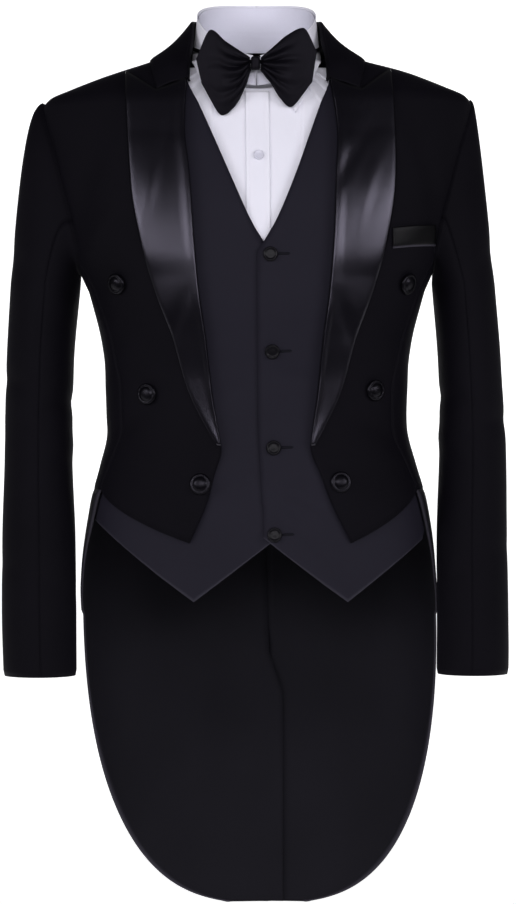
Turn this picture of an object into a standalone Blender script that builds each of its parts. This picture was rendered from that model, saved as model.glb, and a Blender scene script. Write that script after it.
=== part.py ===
"""Evening tailcoat suit, dressed and hollow: tailcoat, waistcoat, shirt front and bow tie.

The front faces -Y, +X is the wearer's left and +Z is up. The origin lies on the body's
axis at shoulder level. Tables and sizes are in millimetres, and MM turns them into metres.
"""
import math

import bmesh
import bpy
import numpy as np
from mathutils import Matrix, Vector

MM = 0.001

# Driving sizes
COAT_WALL = 2.4
WAISTCOAT_WALL = 1.8
SHIRT_WALL = 1.2
LAPEL_WALL = 2.0
SEAM_GAP = 0.36
COAT_OUT = -COAT_WALL / 2
WAISTCOAT_OUT = -6.2
SHIRT_OUT = -13.4
LAPEL_OUT = 1.9
SQUARENESS = 2.4
ROUND_STEPS = 16

# Outer face of the coat, in level rings from the neck down to the tail hem
# height, half-width, depth to the front, depth to the back
BODY_RINGS = (
    (26, 74, 50, 68),
    (14, 92, 62, 74),
    (2, 119, 70, 78),
    (-9, 148, 75, 81),
    (-20, 177, 79, 84),
    (-31, 205, 84, 87),
    (-42, 229, 89, 90),
    (-51, 235, 92, 92),
    (-100, 229, 108, 102),
    (-150, 221, 119, 108),
    (-190, 212, 124, 109),
    (-221, 200, 126, 108),
    (-240, 188, 126, 106),
    (-262, 181, 125, 103),
    (-306, 170, 119, 95),
    (-350, 165, 113, 89),
    (-394, 165, 111, 89),
    (-438, 174, 112, 95),
    (-482, 185.5, 115, 102),
    (-548, 194.5, 119, 111),
    (-600, 197, 121, 115),
    (-700, 196, 121, 118),
    (-820, 193, 120, 117),
    (-940, 190, 120, 114),
)
# The outline leans a little to the wearer's left: height, sideways shift
BODY_LEAN = ((30, 1), (-51, 1), (-380, 0), (-430, 2), (-500, 2.6), (-548, 2.2), (-620, 3.8),
             (-760, 7), (-940, 12))
# The shoulders lie a little higher towards their tips, more so the wearer's left one
SHOULDER_RISE = {1: 7.3, -1: 3.5}
RISE_START = 92
RISE_WIDTH = 85
RISE_FOOT = -300
RISE_DEPTH = 240
# Centre line of the front edges, lapels and buttons: height, sideways shift
FRONT_LINE = ((20, 0), (-20, 2), (-80, 5), (-130, 7), (-200, 8), (-300, 8.5), (-400, 9.5),
              (-450, 12), (-520, 15), (-600, 15))
# Centre seam of the back: height, sideways shift
BACK_LINE = ((30, 0), (-300, 2), (-465, 9), (-650, 14), (-940, 16))


class Curve:
    """Smooth curve through table rows, flat at each peak so that it never overshoots."""

    def __init__(self, rows, column=1):
        rows = sorted(rows)
        self.places = [row[0] for row in rows]
        self.values = [row[column] for row in rows]
        steps = [self.places[i + 1] - self.places[i] for i in range(len(rows) - 1)]
        rises = [(self.values[i + 1] - self.values[i]) / steps[i] for i in range(len(steps))]
        self.slopes = [rises[0]]
        for before, after in zip(rises, rises[1:]):
            same_way = before * after > 0
            self.slopes.append(2 * before * after / (before + after) if same_way else 0.0)
        self.slopes.append(rises[-1])

    def __call__(self, place):
        place = min(max(place, self.places[0]), self.places[-1])
        i = min(int(np.searchsorted(self.places, place, side="right")) - 1, len(self.places) - 2)
        step = self.places[i + 1] - self.places[i]
        t = (place - self.places[i]) / step
        start = (1 + 2 * t) * (1 - t) ** 2
        end = t * t * (3 - 2 * t)
        lead_in = t * (1 - t) ** 2 * step * self.slopes[i]
        lead_out = t * t * (t - 1) * step * self.slopes[i + 1]
        return start * self.values[i] + end * self.values[i + 1] + lead_in + lead_out


half_width = Curve(BODY_RINGS, 1)
front_depth = Curve(BODY_RINGS, 2)
back_depth = Curve(BODY_RINGS, 3)
body_lean = Curve(BODY_LEAN)
front_line = Curve(FRONT_LINE)
back_line = Curve(BACK_LINE)


def mix(start, end, share):
    """Value or vector a share of the way from start to end."""
    return start + (end - start) * share


def held_share(value):
    """Value held between 0 and 1."""
    return min(max(value, 0.0), 1.0)


def ease(value):
    """Share from 0 to 1 with a soft start and end."""
    value = held_share(value)
    return value * value * (3 - 2 * value)


def shoulder_rise(x, height):
    """How far the surface is lifted towards the tip of a shoulder."""
    across = ease((abs(x) - RISE_START) / RISE_WIDTH)
    return SHOULDER_RISE[1 if x > 0 else -1] * across * held_share((height - RISE_FOOT) / RISE_DEPTH)


def ring_point(angle, height):
    """Point of the coat's outer face, angle in degrees from centre front towards +X."""
    turn = math.radians(angle)
    power = 2 / SQUARENESS
    side = math.copysign(abs(math.sin(turn)) ** power, math.sin(turn))
    ahead = math.copysign(abs(math.cos(turn)) ** power, math.cos(turn))
    depth = front_depth(height) if ahead > 0 else back_depth(height)
    x = body_lean(height) + half_width(height) * side
    return Vector((x, -depth * ahead, height + shoulder_rise(x, height)))


def body_normal(angle, height):
    """Outward direction of the body's surface."""
    across = ring_point(angle + 1.5, height) - ring_point(angle - 1.5, height)
    along = ring_point(angle, height + 1.5) - ring_point(angle, height - 1.5)
    return across.cross(along).normalized()


def on_body(angle, height, out=0.0):
    """Point of the body's surface, moved out along its normal."""
    return ring_point(angle, height) + body_normal(angle, height) * out


def front_angle(x, height):
    """Angle of the front half at which the surface lies at x."""
    shift = x - body_lean(height)
    reach = min(abs(shift) / half_width(height), 1.0)
    return math.copysign(math.degrees(math.asin(reach ** (SQUARENESS / 2))), shift)


def back_angle(x, height, side):
    """Angle of the back half at which the surface lies at x, counted from the given side."""
    shift = x - body_lean(height)
    reach = min(abs(shift) / half_width(height), 1.0)
    from_back = math.degrees(math.asin(reach ** (SQUARENESS / 2)))
    return side * 180 - math.copysign(from_back, shift)


def material(name, colour, roughness, sheen=0.0):
    """Cloth material of one even colour."""
    made = bpy.data.materials.new(name)
    made.use_nodes = True
    shader = made.node_tree.nodes["Principled BSDF"]
    shader.inputs["Base Color"].default_value = (*colour, 1.0)
    shader.inputs["Roughness"].default_value = roughness
    shader.inputs["Metallic"].default_value = 0.0
    shader.inputs["Sheen Weight"].default_value = sheen
    return made


MODEL = bpy.data.collections.new("tailcoat_suit")


def start_scene():
    """Clear the scene and link the model's collection."""
    for item in list(bpy.data.objects):
        bpy.data.objects.remove(item, do_unlink=True)
    bpy.context.scene.collection.children.link(MODEL)


def add_object(name, mesh, cloth):
    """Object of a mesh, in the model's collection, with its own material."""
    item = bpy.data.objects.new(name, mesh)
    mesh.materials.append(material(name, *cloth))
    MODEL.objects.link(item)
    return item


def inset(grid, amount):
    """Draw the grid's four edges in by an amount, which leaves the gap at the seams."""
    rows = [[point.copy() for point in row] for row in grid]
    for row in rows:
        first = (row[1] - row[0]).normalized() * amount
        last = (row[-2] - row[-1]).normalized() * amount
        row[0] += first
        row[-1] += last
    for column in range(len(rows[0])):
        first = (rows[1][column] - rows[0][column]).normalized() * amount
        last = (rows[-2][column] - rows[-1][column]).normalized() * amount
        rows[0][column] += first
        rows[-1][column] += last
    return rows


def cloth_wall(name, grid, wall, cloth, gap=SEAM_GAP):
    """Cloth panel: a grid of points across and down, given its wall by Solidify."""
    grid = inset(grid, gap / 2)
    columns = len(grid[0])
    points = [tuple(point * MM) for row in grid for point in row]
    faces = []
    for r in range(len(grid) - 1):
        for c in range(columns - 1):
            corner = r * columns + c
            faces.append((corner, corner + 1, corner + columns + 1, corner + columns))
    mesh = bpy.data.meshes.new(name)
    mesh.from_pydata(points, [], faces)
    mesh.validate()
    item = add_object(name, mesh, cloth)
    solid = item.modifiers.new("wall", "SOLIDIFY")
    solid.thickness = wall * MM
    solid.offset = 0.0
    return item


def shares(count):
    """Even shares from 0 to 1."""
    return [i / count for i in range(count + 1)]


WOOL = ((0.006, 0.006, 0.008), 0.75, 0.3)
WAISTCOAT_CLOTH = ((0.016, 0.015, 0.024), 0.55, 0.2)
SATIN = ((0.05, 0.045, 0.065), 0.3, 0.1)
LINEN = ((0.80, 0.80, 0.88), 0.7, 0.1)
BOW_SATIN = ((0.013, 0.012, 0.016), 0.45, 0.2)

# Armhole of the coat, angle at each height in front and behind, and height along its foot
ARMHOLE_FRONT = Curve(((-46, 90), (-60, 83), (-97, 74), (-137, 69.5), (-188, 67.5),
                       (-205, 69), (-218, 74)))
ARMHOLE_BACK = Curve(((-46, 90), (-60, 97), (-97, 107), (-137, 112), (-170, 113), (-200, 112)))
ARMHOLE_FOOT = Curve(((74, -218), (84, -227), (93, -230), (103, -222), (112, -200)))
FRONT_SIDE_SEAM = Curve(((-218, 74), (-262, 70), (-306, 65), (-361, 60), (-400, 61),
                         (-435, 66), (-465, 71)))
SIDE_BACK_SEAM = Curve(((-200, 112), (-262, 118), (-350, 126), (-400, 126), (-465, 122)))
WAIST = -465
SHOULDER_TIP = -46
# Front edge of the coat from the centre line: height, distance
FRONT_EDGE = Curve(((14, 72), (-22, 77), (-80, 82), (-122, 79), (-195, 75), (-252, 70),
                    (-302, 63), (-363, 56.5), (-412, 49), (-420, 48), (-449, 57), (-479, 67),
                    (-522, 87)))
# Rows of the coat's front: height at the front edge, height at the shoulder, armhole and seam
FRONT_ROWS = ((-22, 14), (-25, 2), (-30, -9), (-36, -20), (-43, -31), (-50, -42), (-56, -47),
              (-68, -62), (-97, -97), (-137, -137), (-172, -172), (-200, -200), (-222, -218),
              (-250, -250), (-285, -285), (-320, -320), (-360, -355), (-395, -388),
              (-420, -412), (-449, -432), (-479, -448), (-522, -465))
SIDE_ROWS = (-250, -285, -320, -355, -388, -412, -432, -448, -465)
# Rows of the coat's back: height at the centre seam, height at the shoulder, armhole and seam
BACK_ROWS = ((26, 14), (13, 2), (0, -9), (-13, -20), (-26, -31), (-39, -42), (-46, -47),
             (-62, -62), (-97, -97), (-137, -137), (-170, -170), (-200, -200)) + tuple(
                 (height, height) for height in SIDE_ROWS)


def front_outer_angle(height):
    """Outer edge of the coat's front: shoulder seam, armhole, then the side seam."""
    if height >= SHOULDER_TIP:
        return 90.0
    return ARMHOLE_FRONT(height) if height > -218 else FRONT_SIDE_SEAM(height)


def back_outer_angle(height):
    """Outer edge of the coat's back: shoulder seam, armhole, then the back seam."""
    if height >= SHOULDER_TIP:
        return 90.0
    return ARMHOLE_BACK(height) if height > -200 else SIDE_BACK_SEAM(height)


def edge_x(curve, height, side):
    """Sideways place of a front edge that a curve gives from the front's centre line."""
    return front_line(height) + side * curve(height)


def coat_fronts():
    """Left and right fronts, from the gorge and shoulder to the pointed hem."""
    for side, word in ((1, "left"), (-1, "right")):
        grid = []
        for inner, outer in FRONT_ROWS:
            first = side * front_angle(edge_x(FRONT_EDGE, inner, side), inner)
            last = front_outer_angle(outer)
            grid.append([on_body(side * mix(first, last, u), mix(inner, outer, u), COAT_OUT)
                         for u in shares(7)])
        cloth_wall("coat_front_" + word, grid, COAT_WALL, WOOL)


def coat_side_bodies():
    """Panels under the arms, between the fronts and the backs."""
    for side, word in ((1, "left"), (-1, "right")):
        across = shares(5)
        grid = [[on_body(side * mix(74, 112, u), ARMHOLE_FOOT(mix(74, 112, u)), COAT_OUT)
                 for u in across]]
        for height in SIDE_ROWS:
            first = FRONT_SIDE_SEAM(height)
            last = SIDE_BACK_SEAM(height)
            grid.append([on_body(side * mix(first, last, u), height, COAT_OUT) for u in across])
        cloth_wall("coat_side_" + word, grid, COAT_WALL, WOOL)


def coat_backs():
    """Back panels from the neck and shoulder to the waist seam."""
    for side, word in ((1, "left"), (-1, "right")):
        grid = []
        for middle, outer in BACK_ROWS:
            first = side * back_angle(back_line(middle), middle, side)
            last = back_outer_angle(outer)
            grid.append([on_body(side * mix(first, last, u), mix(middle, outer, u), COAT_OUT)
                         for u in shares(6)])
        cloth_wall("coat_back_" + word, grid, COAT_WALL, WOOL)


# Tails: front edge above the hip as angle at each height, below it a rounded outline
TAIL_EDGE = Curve(((-465, 71), (-505, 75), (-545, 82), (-600, 92)))
TAIL_ROUND_TOP = -600
TAIL_BOTTOM = -934
TAIL_HEM = -932
TAIL_HALF = 196
TAIL_FALL_POWER = 2.4
TAIL_REACH_POWER = 1 / 2.9
VENT_TOP = -650
VENT_UNDER = 30
VENT_OVER = -6
VENT_STEP = -3.4
VENT_STEP_START = -60
VENT_STEP_WIDTH = 40
VENT_STEP_FALL = 35
VENT_OPENING = 45
VENT_START = 3
SIDE_TURN = 120


def tail_edge_angle(height):
    """Front edge of a tail, which rounds in to the flat hem."""
    if height > TAIL_ROUND_TOP:
        return TAIL_EDGE(height)
    fall = (TAIL_ROUND_TOP - height) / (TAIL_ROUND_TOP - TAIL_BOTTOM)
    reach = TAIL_HALF * (1 - fall ** TAIL_FALL_POWER) ** TAIL_REACH_POWER / half_width(height)
    rounded = 180 - math.degrees(math.asin(min(reach, 0.9999) ** (SQUARENESS / 2)))
    return max(rounded, TAIL_EDGE(TAIL_ROUND_TOP))


def vent_x(height, side):
    """Centre edge of a tail: the back seam, then the vent, right tail inside left."""
    open_share = held_share((VENT_TOP - height) / VENT_OPENING)
    vent = VENT_OVER if side > 0 else VENT_UNDER
    return mix(back_line(height), vent, open_share)


def tail_point(angle, height, side):
    """Point of a tail; the right one steps inward where it passes under the left one."""
    out = COAT_OUT
    if side < 0:
        near = held_share((on_body(angle, height).x - VENT_STEP_START) / VENT_STEP_WIDTH)
        below = held_share((VENT_TOP + VENT_STEP_FALL - height) / VENT_STEP_FALL)
        behind = 1.0 if abs(angle) > SIDE_TURN else 0.0
        out += VENT_STEP * near * below * behind
    return on_body(angle, height, out)


def coat_tails():
    """Tails from the waist seam to the rounded hem, open at the centre vent."""
    heights = [WAIST, -505, -545, -585, -615, VENT_TOP]
    vent_start = VENT_TOP - VENT_START
    heights += [vent_start + (TAIL_HEM - vent_start) * math.sin(math.pi / 2 * share)
                for share in shares(10)]
    for side, word in ((1, "left"), (-1, "right")):
        grid = []
        for height in heights:
            centre = side * back_angle(vent_x(height, side), height, side)
            edge = tail_edge_angle(height)
            grid.append([tail_point(side * mix(edge, centre, u), height, side)
                         for u in shares(9)])
        cloth_wall("tail_" + word, grid, COAT_WALL, WOOL)


# Sleeves below the armhole: height, centre from the sleeves' axis, half-width, forward reach,
# half-depth
SLEEVE_RINGS = {
    1: ((-240, 227, 33.5, 4, 62), (-330, 234, 33.5, 2, 57), (-420, 237, 35.5, -4, 54),
        (-520, 235.5, 37.5, -14, 53), (-600, 235.8, 38, -24, 51), (-680, 235, 38, -33, 49)),
    -1: ((-240, 232.5, 37.5, 4, 62), (-330, 238.5, 36, 2, 57), (-420, 240, 36, -4, 54),
         (-520, 239, 39, -14, 53), (-600, 238.2, 39.6, -24, 51), (-680, 236.3, 38.6, -33, 49)),
}
SLEEVE_AXIS = 0.5
CUFF = {1: -666, -1: -668}
SLEEVE_TOP = -240
CAP_POWER = {1: 0.8, -1: 0.42}
CAP_END = 0.3
SLEEVE_START_OUT = 1.6
SLEEVE_SEAM = 0.8
SLEEVE_CURVES = {side: [Curve(rings, column) for column in (1, 2, 3, 4)]
                 for side, rings in SLEEVE_RINGS.items()}
# Armhole as a loop: turn from the top by way of the front, angle on the body, height
ARMHOLE_LOOP = ((0, 90, -46), (25, 82, -62), (50, 73, -105), (75, 69, -145), (100, 67.5, -182),
                (130, 70, -210), (155, 82, -227), (180, 93, -231), (205, 103, -223),
                (230, 111, -203), (260, 113.5, -172), (285, 112, -140), (310, 107, -100),
                (335, 98, -62), (360, 90, -46))
armhole_angle = Curve(ARMHOLE_LOOP, 1)
armhole_height = Curve(ARMHOLE_LOOP, 2)
FRONT_ARM_SEAM = 95
BACK_ARM_SEAM = -78


def sleeve_ring(turn, height, side):
    """Point of a sleeve's level ring, turn in degrees from outside by way of the front."""
    around = math.radians(turn)
    centre, half, reach, depth = [curve(height) for curve in SLEEVE_CURVES[side]]
    x = centre + half * math.cos(around)
    y = reach - depth * math.sin(around)
    return Vector((SLEEVE_AXIS + side * x, y, height))


def sleeve_point(turn, share, side):
    """Point of a sleeve: the cap grows out of the armhole, then level rings to the cuff."""
    if share >= CAP_END:
        height = mix(SLEEVE_TOP, CUFF[side], (share - CAP_END) / (1 - CAP_END))
        return sleeve_ring(turn, height, side)
    around = turn % 360
    top = on_body(side * armhole_angle(around), armhole_height(around), SLEEVE_START_OUT)
    down = share / CAP_END
    low = sleeve_ring(turn, SLEEVE_TOP, side)
    out = down ** CAP_POWER[side]
    return Vector((mix(top.x, low.x, out), mix(top.y, low.y, out), mix(top.z, low.z, down)))


def sleeves():
    """Two-piece sleeves: the top piece outside, the under piece against the body."""
    downs = (0, 0.008, 0.03, 0.07, 0.12, 0.18, 0.24, 0.3, 0.4, 0.5, 0.6, 0.7, 0.8, 0.9, 1)
    for side, word in ((1, "left"), (-1, "right")):
        pieces = (("top", BACK_ARM_SEAM, FRONT_ARM_SEAM, 11),
                  ("under", FRONT_ARM_SEAM, 360 + BACK_ARM_SEAM, 10))
        for piece, start, end, count in pieces:
            grid = [[sleeve_point(mix(start, end, u), down, side) for u in shares(count)]
                    for down in downs]
            cloth_wall("sleeve_%s_%s" % (piece, word), grid, COAT_WALL, WOOL, SLEEVE_SEAM)


# Satin lapels: outer edge from the centre line; gorge height at each share of the width
LAPEL_EDGE = Curve(((-16, 143), (-80, 144), (-137, 142), (-202, 131), (-256, 115), (-299, 99),
                    (-360, 81), (-392, 66), (-418, 52)))
LAPEL_TOP = ((0, -24), (0.5, -36), (1, -16))
LAPEL_END = -418
LAPEL_SHOULDER_LIFT = 2.2
LAPEL_LIFT_START = -80
LAPEL_LIFT_RISE = 40


def lapel_point(u, down, side, out):
    """Point of a lapel, u across from the roll line and down from the gorge to its foot."""
    top = float(np.interp(u, [row[0] for row in LAPEL_TOP], [row[1] for row in LAPEL_TOP]))
    height = mix(top, LAPEL_END, down)
    x = front_line(height) + side * mix(FRONT_EDGE(height), LAPEL_EDGE(height), u)
    near_shoulder = held_share((height - LAPEL_LIFT_START) / LAPEL_LIFT_RISE)
    return on_body(front_angle(x, height), height, out + LAPEL_SHOULDER_LIFT * near_shoulder)


def lapels():
    """Peak lapels lying on the fronts."""
    for side, word in ((1, "left"), (-1, "right")):
        grid = [[lapel_point(u, down, side, LAPEL_OUT) for u in shares(4)] for down in shares(16)]
        cloth_wall("lapel_" + word, grid, LAPEL_WALL, SATIN)


# Breast welt: ends across, heights of its top and foot at the inner end, rise to the outer end
WELT_OUT = 2.0
WELT_WALL = 1.4
WELT_INNER = 146
WELT_OUTER = 193
WELT_TOP = -186
WELT_FOOT = -208
WELT_RISE = 4


def breast_welt():
    """Welt of the breast pocket, on the wearer's left."""
    grid = []
    for top_share in (0, 0.5, 1):
        row = []
        for u in shares(6):
            x = mix(WELT_INNER, WELT_OUTER, u)
            height = mix(WELT_TOP, WELT_FOOT, top_share) + WELT_RISE * u
            row.append(on_body(front_angle(x, height), height, WELT_OUT))
        grid.append(row)
    cloth_wall("breast_welt", grid, WELT_WALL, WOOL)


# Coat collar, from the gorge round to the centre back: fold, then outer edge, then neck seam,
# each as distance from the centre, forward-back place and height
COLLAR_STATIONS = (
    (77, -77, -20, 109, -80, -34, 74, -71, -24),
    (76, -62, 2, 113, -66, -17, 78, -50, -2),
    (72.5, -36, 25, 116, -42, -2, 82.5, -28, 11),
    (71, 2, 48, 113, 4, 7, 90.5, 2, 16),
    (62.5, 40, 52, 96, 58, 16, 77, 48, 22),
    (38, 63, 57, 58, 80, 15, 42, 66, 26),
    (0, 70, 58, 0, 87, 14, 0, 68, 26),
)
COLLAR_BULGE = (2, 4, 3, -2, 0, 2, 3)
COLLAR_WALL = 2.0
COLLAR_CLEAR = 3.4
COLLAR_CLEAR_BACK = -8
COLLAR_CLEAR_TOP = 14
COLLAR_HALF_STEPS = 12
COLLAR_SHIFT_DEPTH = 80
COLLAR_LEAN = 2.0
COLLAR_DROP = 4.0


def clear_of_front(point):
    """Point moved forward where it would lie on or in the coat's front."""
    if point.y > COLLAR_CLEAR_BACK or point.z > COLLAR_CLEAR_TOP:
        return point
    surface = on_body(front_angle(point.x, point.z), point.z, COLLAR_CLEAR)
    return Vector((point.x, min(point.y, surface.y), point.z))


def collar_section(place):
    """Section of the coat collar at a place from 0 at the gorge to 1 at the centre back."""
    marks = [i / (len(COLLAR_STATIONS) - 1) for i in range(len(COLLAR_STATIONS))]
    columns = [Curve([(m, row[c]) for m, row in zip(marks, COLLAR_STATIONS)])(place)
               for c in range(9)]
    bulge = Curve(list(zip(marks, COLLAR_BULGE)))(place)
    fold = Vector(columns[0:3])
    edge = Vector(columns[3:6])
    seam = Vector(columns[6:9])
    outward = Vector((edge.x - fold.x, edge.y - fold.y, 0)).normalized()
    slope = (edge - fold).normalized()
    lift = Vector((outward.x * -slope.z, outward.y * -slope.z, slope.to_2d().length))
    inner = fold - outward * COLLAR_LEAN - Vector((0, 0, COLLAR_DROP))
    outer = fold + outward * COLLAR_LEAN - Vector((0, 0, COLLAR_DROP * 0.6))
    fall = [mix(outer, edge, 0.35) + lift * bulge, mix(outer, edge, 0.7) + lift * bulge,
            edge + lift * 1.5]
    return [seam, mix(seam, inner, 0.5), inner, fold] + [clear_of_front(p) for p in [outer] + fall]


def coat_collar():
    """Collar from one gorge round the neck to the other, folded over its stand."""
    half = [collar_section(place) for place in shares(COLLAR_HALF_STEPS)]
    mirrored = [[Vector((-p.x, p.y, p.z)) for p in section] for section in half]
    shift = Vector((front_line(-20), 0, 0))
    grid = [[p + shift * max(0, -p.y / COLLAR_SHIFT_DEPTH) for p in section]
            for section in mirrored[:-1] + half[::-1]]
    grid = [[p + Vector((0, 0, shoulder_rise(p.x, p.z))) for p in section] for section in grid]
    cloth_wall("coat_collar", grid, COLLAR_WALL, WOOL)


def button(name, radius, height, centre, direction, cloth, dish=0.0):
    """Turned button: domed, or dished inside a rim, flat underneath."""
    profile = [(0, height - dish), (radius * 0.55, height - dish * 0.8), (radius * 0.8, height),
               (radius, height * 0.5), (radius * 0.93, 0), (0, 0)]
    if dish == 0:
        profile = [(0, height), (radius * 0.5, height * 0.93), (radius * 0.85, height * 0.66),
                   (radius, height * 0.3), (radius * 0.94, 0), (0, 0)]
    mesh = bpy.data.meshes.new(name)
    points = [(r * MM, 0, z * MM) for r, z in profile]
    mesh.from_pydata(points, [(i, i + 1) for i in range(len(points) - 1)], [])
    item = add_object(name, mesh, cloth)
    turned = item.modifiers.new("turned", "SCREW")
    turned.steps = ROUND_STEPS
    turned.render_steps = ROUND_STEPS
    turned.use_merge_vertices = True
    turned.merge_threshold = 0.00001
    turned.use_smooth_shade = True
    item.rotation_euler = Vector(direction).to_track_quat("Z", "Y").to_euler()
    item.location = Vector(centre) * MM


# Coat buttons: name, place across, height, clearance over the curve of the cloth
COAT_BUTTONS = (("right_1", -149, -244, 1.5), ("right_2", -117, -362, 0.7),
                ("right_3", -60, -459, 0.5), ("left_1", 162, -244, 1.7),
                ("left_2", 127, -358, 0.8), ("left_3", 90, -457, 0.5))
BUTTON_CLEAR = 0.5
COAT_BUTTON_RADIUS = 11.5


def coat_buttons():
    """Six satin-covered buttons on the fronts."""
    for word, x, height, clear in COAT_BUTTONS:
        angle = front_angle(x, height)
        centre = on_body(angle, height, clear)
        button("coat_button_" + word, COAT_BUTTON_RADIUS, 6.0, centre, body_normal(angle, height), SATIN)


# Waistcoat neckline from its centre line, armhole angle, and hem: distance, height
WAISTCOAT_V = ((14, 86), (0, 83), (-21, 77.5), (-45, 67), (-75, 55), (-125, 35.5), (-175, 14),
               (-199, 0))
LAP_EDGE = {1: ((-212, -7.5), (-530, -7.5)), -1: ((-225, -20), (-530, -20))}
WAISTCOAT_ARM = Curve(((-9, 90), (-32, 76), (-70, 67), (-120, 63), (-170, 65), (-215, 75),
                       (-248, 90)))
WAISTCOAT_HEM = ((-20, -506), (0, -522), (81, -585), (194, -500))
WAISTCOAT_POINT = 81
WAISTCOAT_ROWS = ((0, -14), (-21, -36), (-45, -62), (-75, -95), (-125, -135), (-170, -175),
                  (-199, -212), (-226, -248), (-262, -275), (-306, -310), (-350, -350),
                  (-395, -395), (-440, -440), (-480, -470))
WAISTCOAT_SIDE_FOOT = -492
UNDERLAP = -3.0
UNDERLAP_TURN = 12
UNDERLAP_TOP = -160
SIDE_FOOT_START = 72
SIDE_FOOT_TURN = 18


def waistcoat_fronts():
    """Fronts with a V neck and pointed hem, the left one lying over the right one."""
    for side, word in ((1, "left"), (-1, "right")):
        neckline = Curve(WAISTCOAT_V + LAP_EDGE[side])
        columns = shares(10)

        def place(u, inner, outer):
            height = mix(inner, outer, u)
            first = side * front_angle(edge_x(neckline, inner, side), inner)
            middle = side * front_angle(front_line(height) + side * WAISTCOAT_POINT, height)
            last = WAISTCOAT_ARM(outer) if outer > -248 else 90.0
            middle = max(middle, mix(first, last, 0.4)) if inner > -230 else middle
            return float(np.interp(u, (0, 0.4, 1), (first, middle, last))), height

        def outward(angle, height):
            if side > 0:
                return WAISTCOAT_OUT
            near = held_share(1 - angle / UNDERLAP_TURN) if height < UNDERLAP_TOP else 0.0
            return WAISTCOAT_OUT + UNDERLAP * near

        grid = [[on_body(side * 90, mix(13, -9, u), WAISTCOAT_OUT) for u in columns]]
        for inner, outer in WAISTCOAT_ROWS:
            row = []
            for u in columns:
                angle, height = place(u, inner, outer)
                row.append(on_body(side * angle, height, outward(angle, height)))
            grid.append(row)
        for share in (0.5, 1.0):
            row = []
            for u in columns:
                angle, height = place(u, -520, -500)
                distance = side * (on_body(side * angle, height).x - front_line(height))
                foot = float(np.interp(distance, *zip(*WAISTCOAT_HEM)))
                to_side = held_share((angle - SIDE_FOOT_START) / SIDE_FOOT_TURN)
                foot = mix(foot, WAISTCOAT_SIDE_FOOT, to_side)
                start = mix(-480, -470, u)
                height = mix(start, foot, share)
                row.append(on_body(side * angle, height, outward(angle, height)))
            grid.append(row)
        cloth_wall("waistcoat_front_" + word, grid, WAISTCOAT_WALL, WAISTCOAT_CLOTH)


def waistcoat_backs():
    """Back of the waistcoat, in two halves that meet at its centre seam."""
    rows = ((-9, 90), (-32, 102), (-70, 108), (-120, 112), (-170, 110), (-215, 102), (-248, 90),
            (-310, 90), (-350, 90), (-395, 90), (-440, 90), (-470, 90), (WAISTCOAT_SIDE_FOOT, 90))
    for side, word in ((1, "left"), (-1, "right")):
        grid = [[on_body(side * mix(90, 180, u), mix(13, 20, math.sin(math.pi / 2 * u)),
                         WAISTCOAT_OUT) for u in shares(7)]]
        for height, start in rows:
            grid.append([on_body(side * mix(start, 180, u), height, WAISTCOAT_OUT)
                         for u in shares(7)])
        cloth_wall("waistcoat_back_" + word, grid, WAISTCOAT_WALL, WAISTCOAT_CLOTH)


WAISTCOAT_BUTTONS = ((15, -213), (17, -318), (18.5, -420), (19.5, -513))


def waistcoat_buttons():
    """Four buttons down the lap of the waistcoat."""
    for number, (x, height) in enumerate(WAISTCOAT_BUTTONS, 1):
        angle = front_angle(x, height)
        out = WAISTCOAT_OUT + WAISTCOAT_WALL / 2 + BUTTON_CLEAR
        centre = on_body(angle, height, out)
        button("waistcoat_button_%d" % number, 8.0, 3.6, centre, body_normal(angle, height),
               SATIN, 0.9)


# Shirt front: rows of heights; the tucks stand up from the cloth beside the placket
BIB_ROWS = ((-26, 12), (-34, -2), (-48, -22), (-70, -48), (-105, -90), (-145, -140), (-190, -190),
            (-245, -245), (-300, -300))
BIB_SIDE = Curve(((12, 90), (0, 66), (-22, 48), (-48, 39), (-90, 34), (-300, 34)))
BIB_FOOT_ANGLE = 34
TUCK_HEIGHT = 1.2
TUCK_ANGLES = (9, 14, 19, 24)
TUCK_REACH = 1.6
TUCK_FOOT = 1.7


def tuck_lift(angle):
    """Height of the cloth over a tuck."""
    from_tucks = [abs(abs(angle) - tuck) / TUCK_REACH for tuck in TUCK_ANGLES]
    return held_share(1 - min(from_tucks)) * TUCK_HEIGHT


def shirt_front():
    """Shirt front under the waistcoat, tucked on both sides of the placket."""
    marks = [-1, -0.8]
    for tuck in reversed(TUCK_ANGLES):
        marks += [-(tuck + step) / BIB_FOOT_ANGLE for step in (TUCK_FOOT, 0, -TUCK_FOOT)]
    marks = sorted(set(marks + [0.0] + [-mark for mark in marks]))
    grid = []
    for middle, outer in BIB_ROWS:
        row = []
        for mark in marks:
            height = mix(middle, outer, abs(mark) ** 1.5)
            reach = np.interp(abs(mark), (0, 0.8, 1), (0, 0.8 * BIB_FOOT_ANGLE, BIB_SIDE(outer)))
            angle = math.copysign(float(reach), mark)
            row.append(on_body(angle, height, SHIRT_OUT + tuck_lift(angle)))
        grid.append(row)
    cloth_wall("shirt_front", grid, SHIRT_WALL, LINEN)


PLACKET_SHIFT = 0.25
PLACKET_OUT = 1.7
PLACKET_WALL = 1.0


def shirt_placket():
    """Strip that carries the shirt's buttons."""
    grid = []
    for height in (-30, -60, -95, -130, -170, -215, -262, -298):
        middle = front_line(height) * PLACKET_SHIFT
        grid.append([on_body(front_angle(middle + x, height), height, SHIRT_OUT + PLACKET_OUT)
                     for x in (-13, -4, 4, 13)])
    cloth_wall("shirt_placket", grid, PLACKET_WALL, LINEN)


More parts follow.
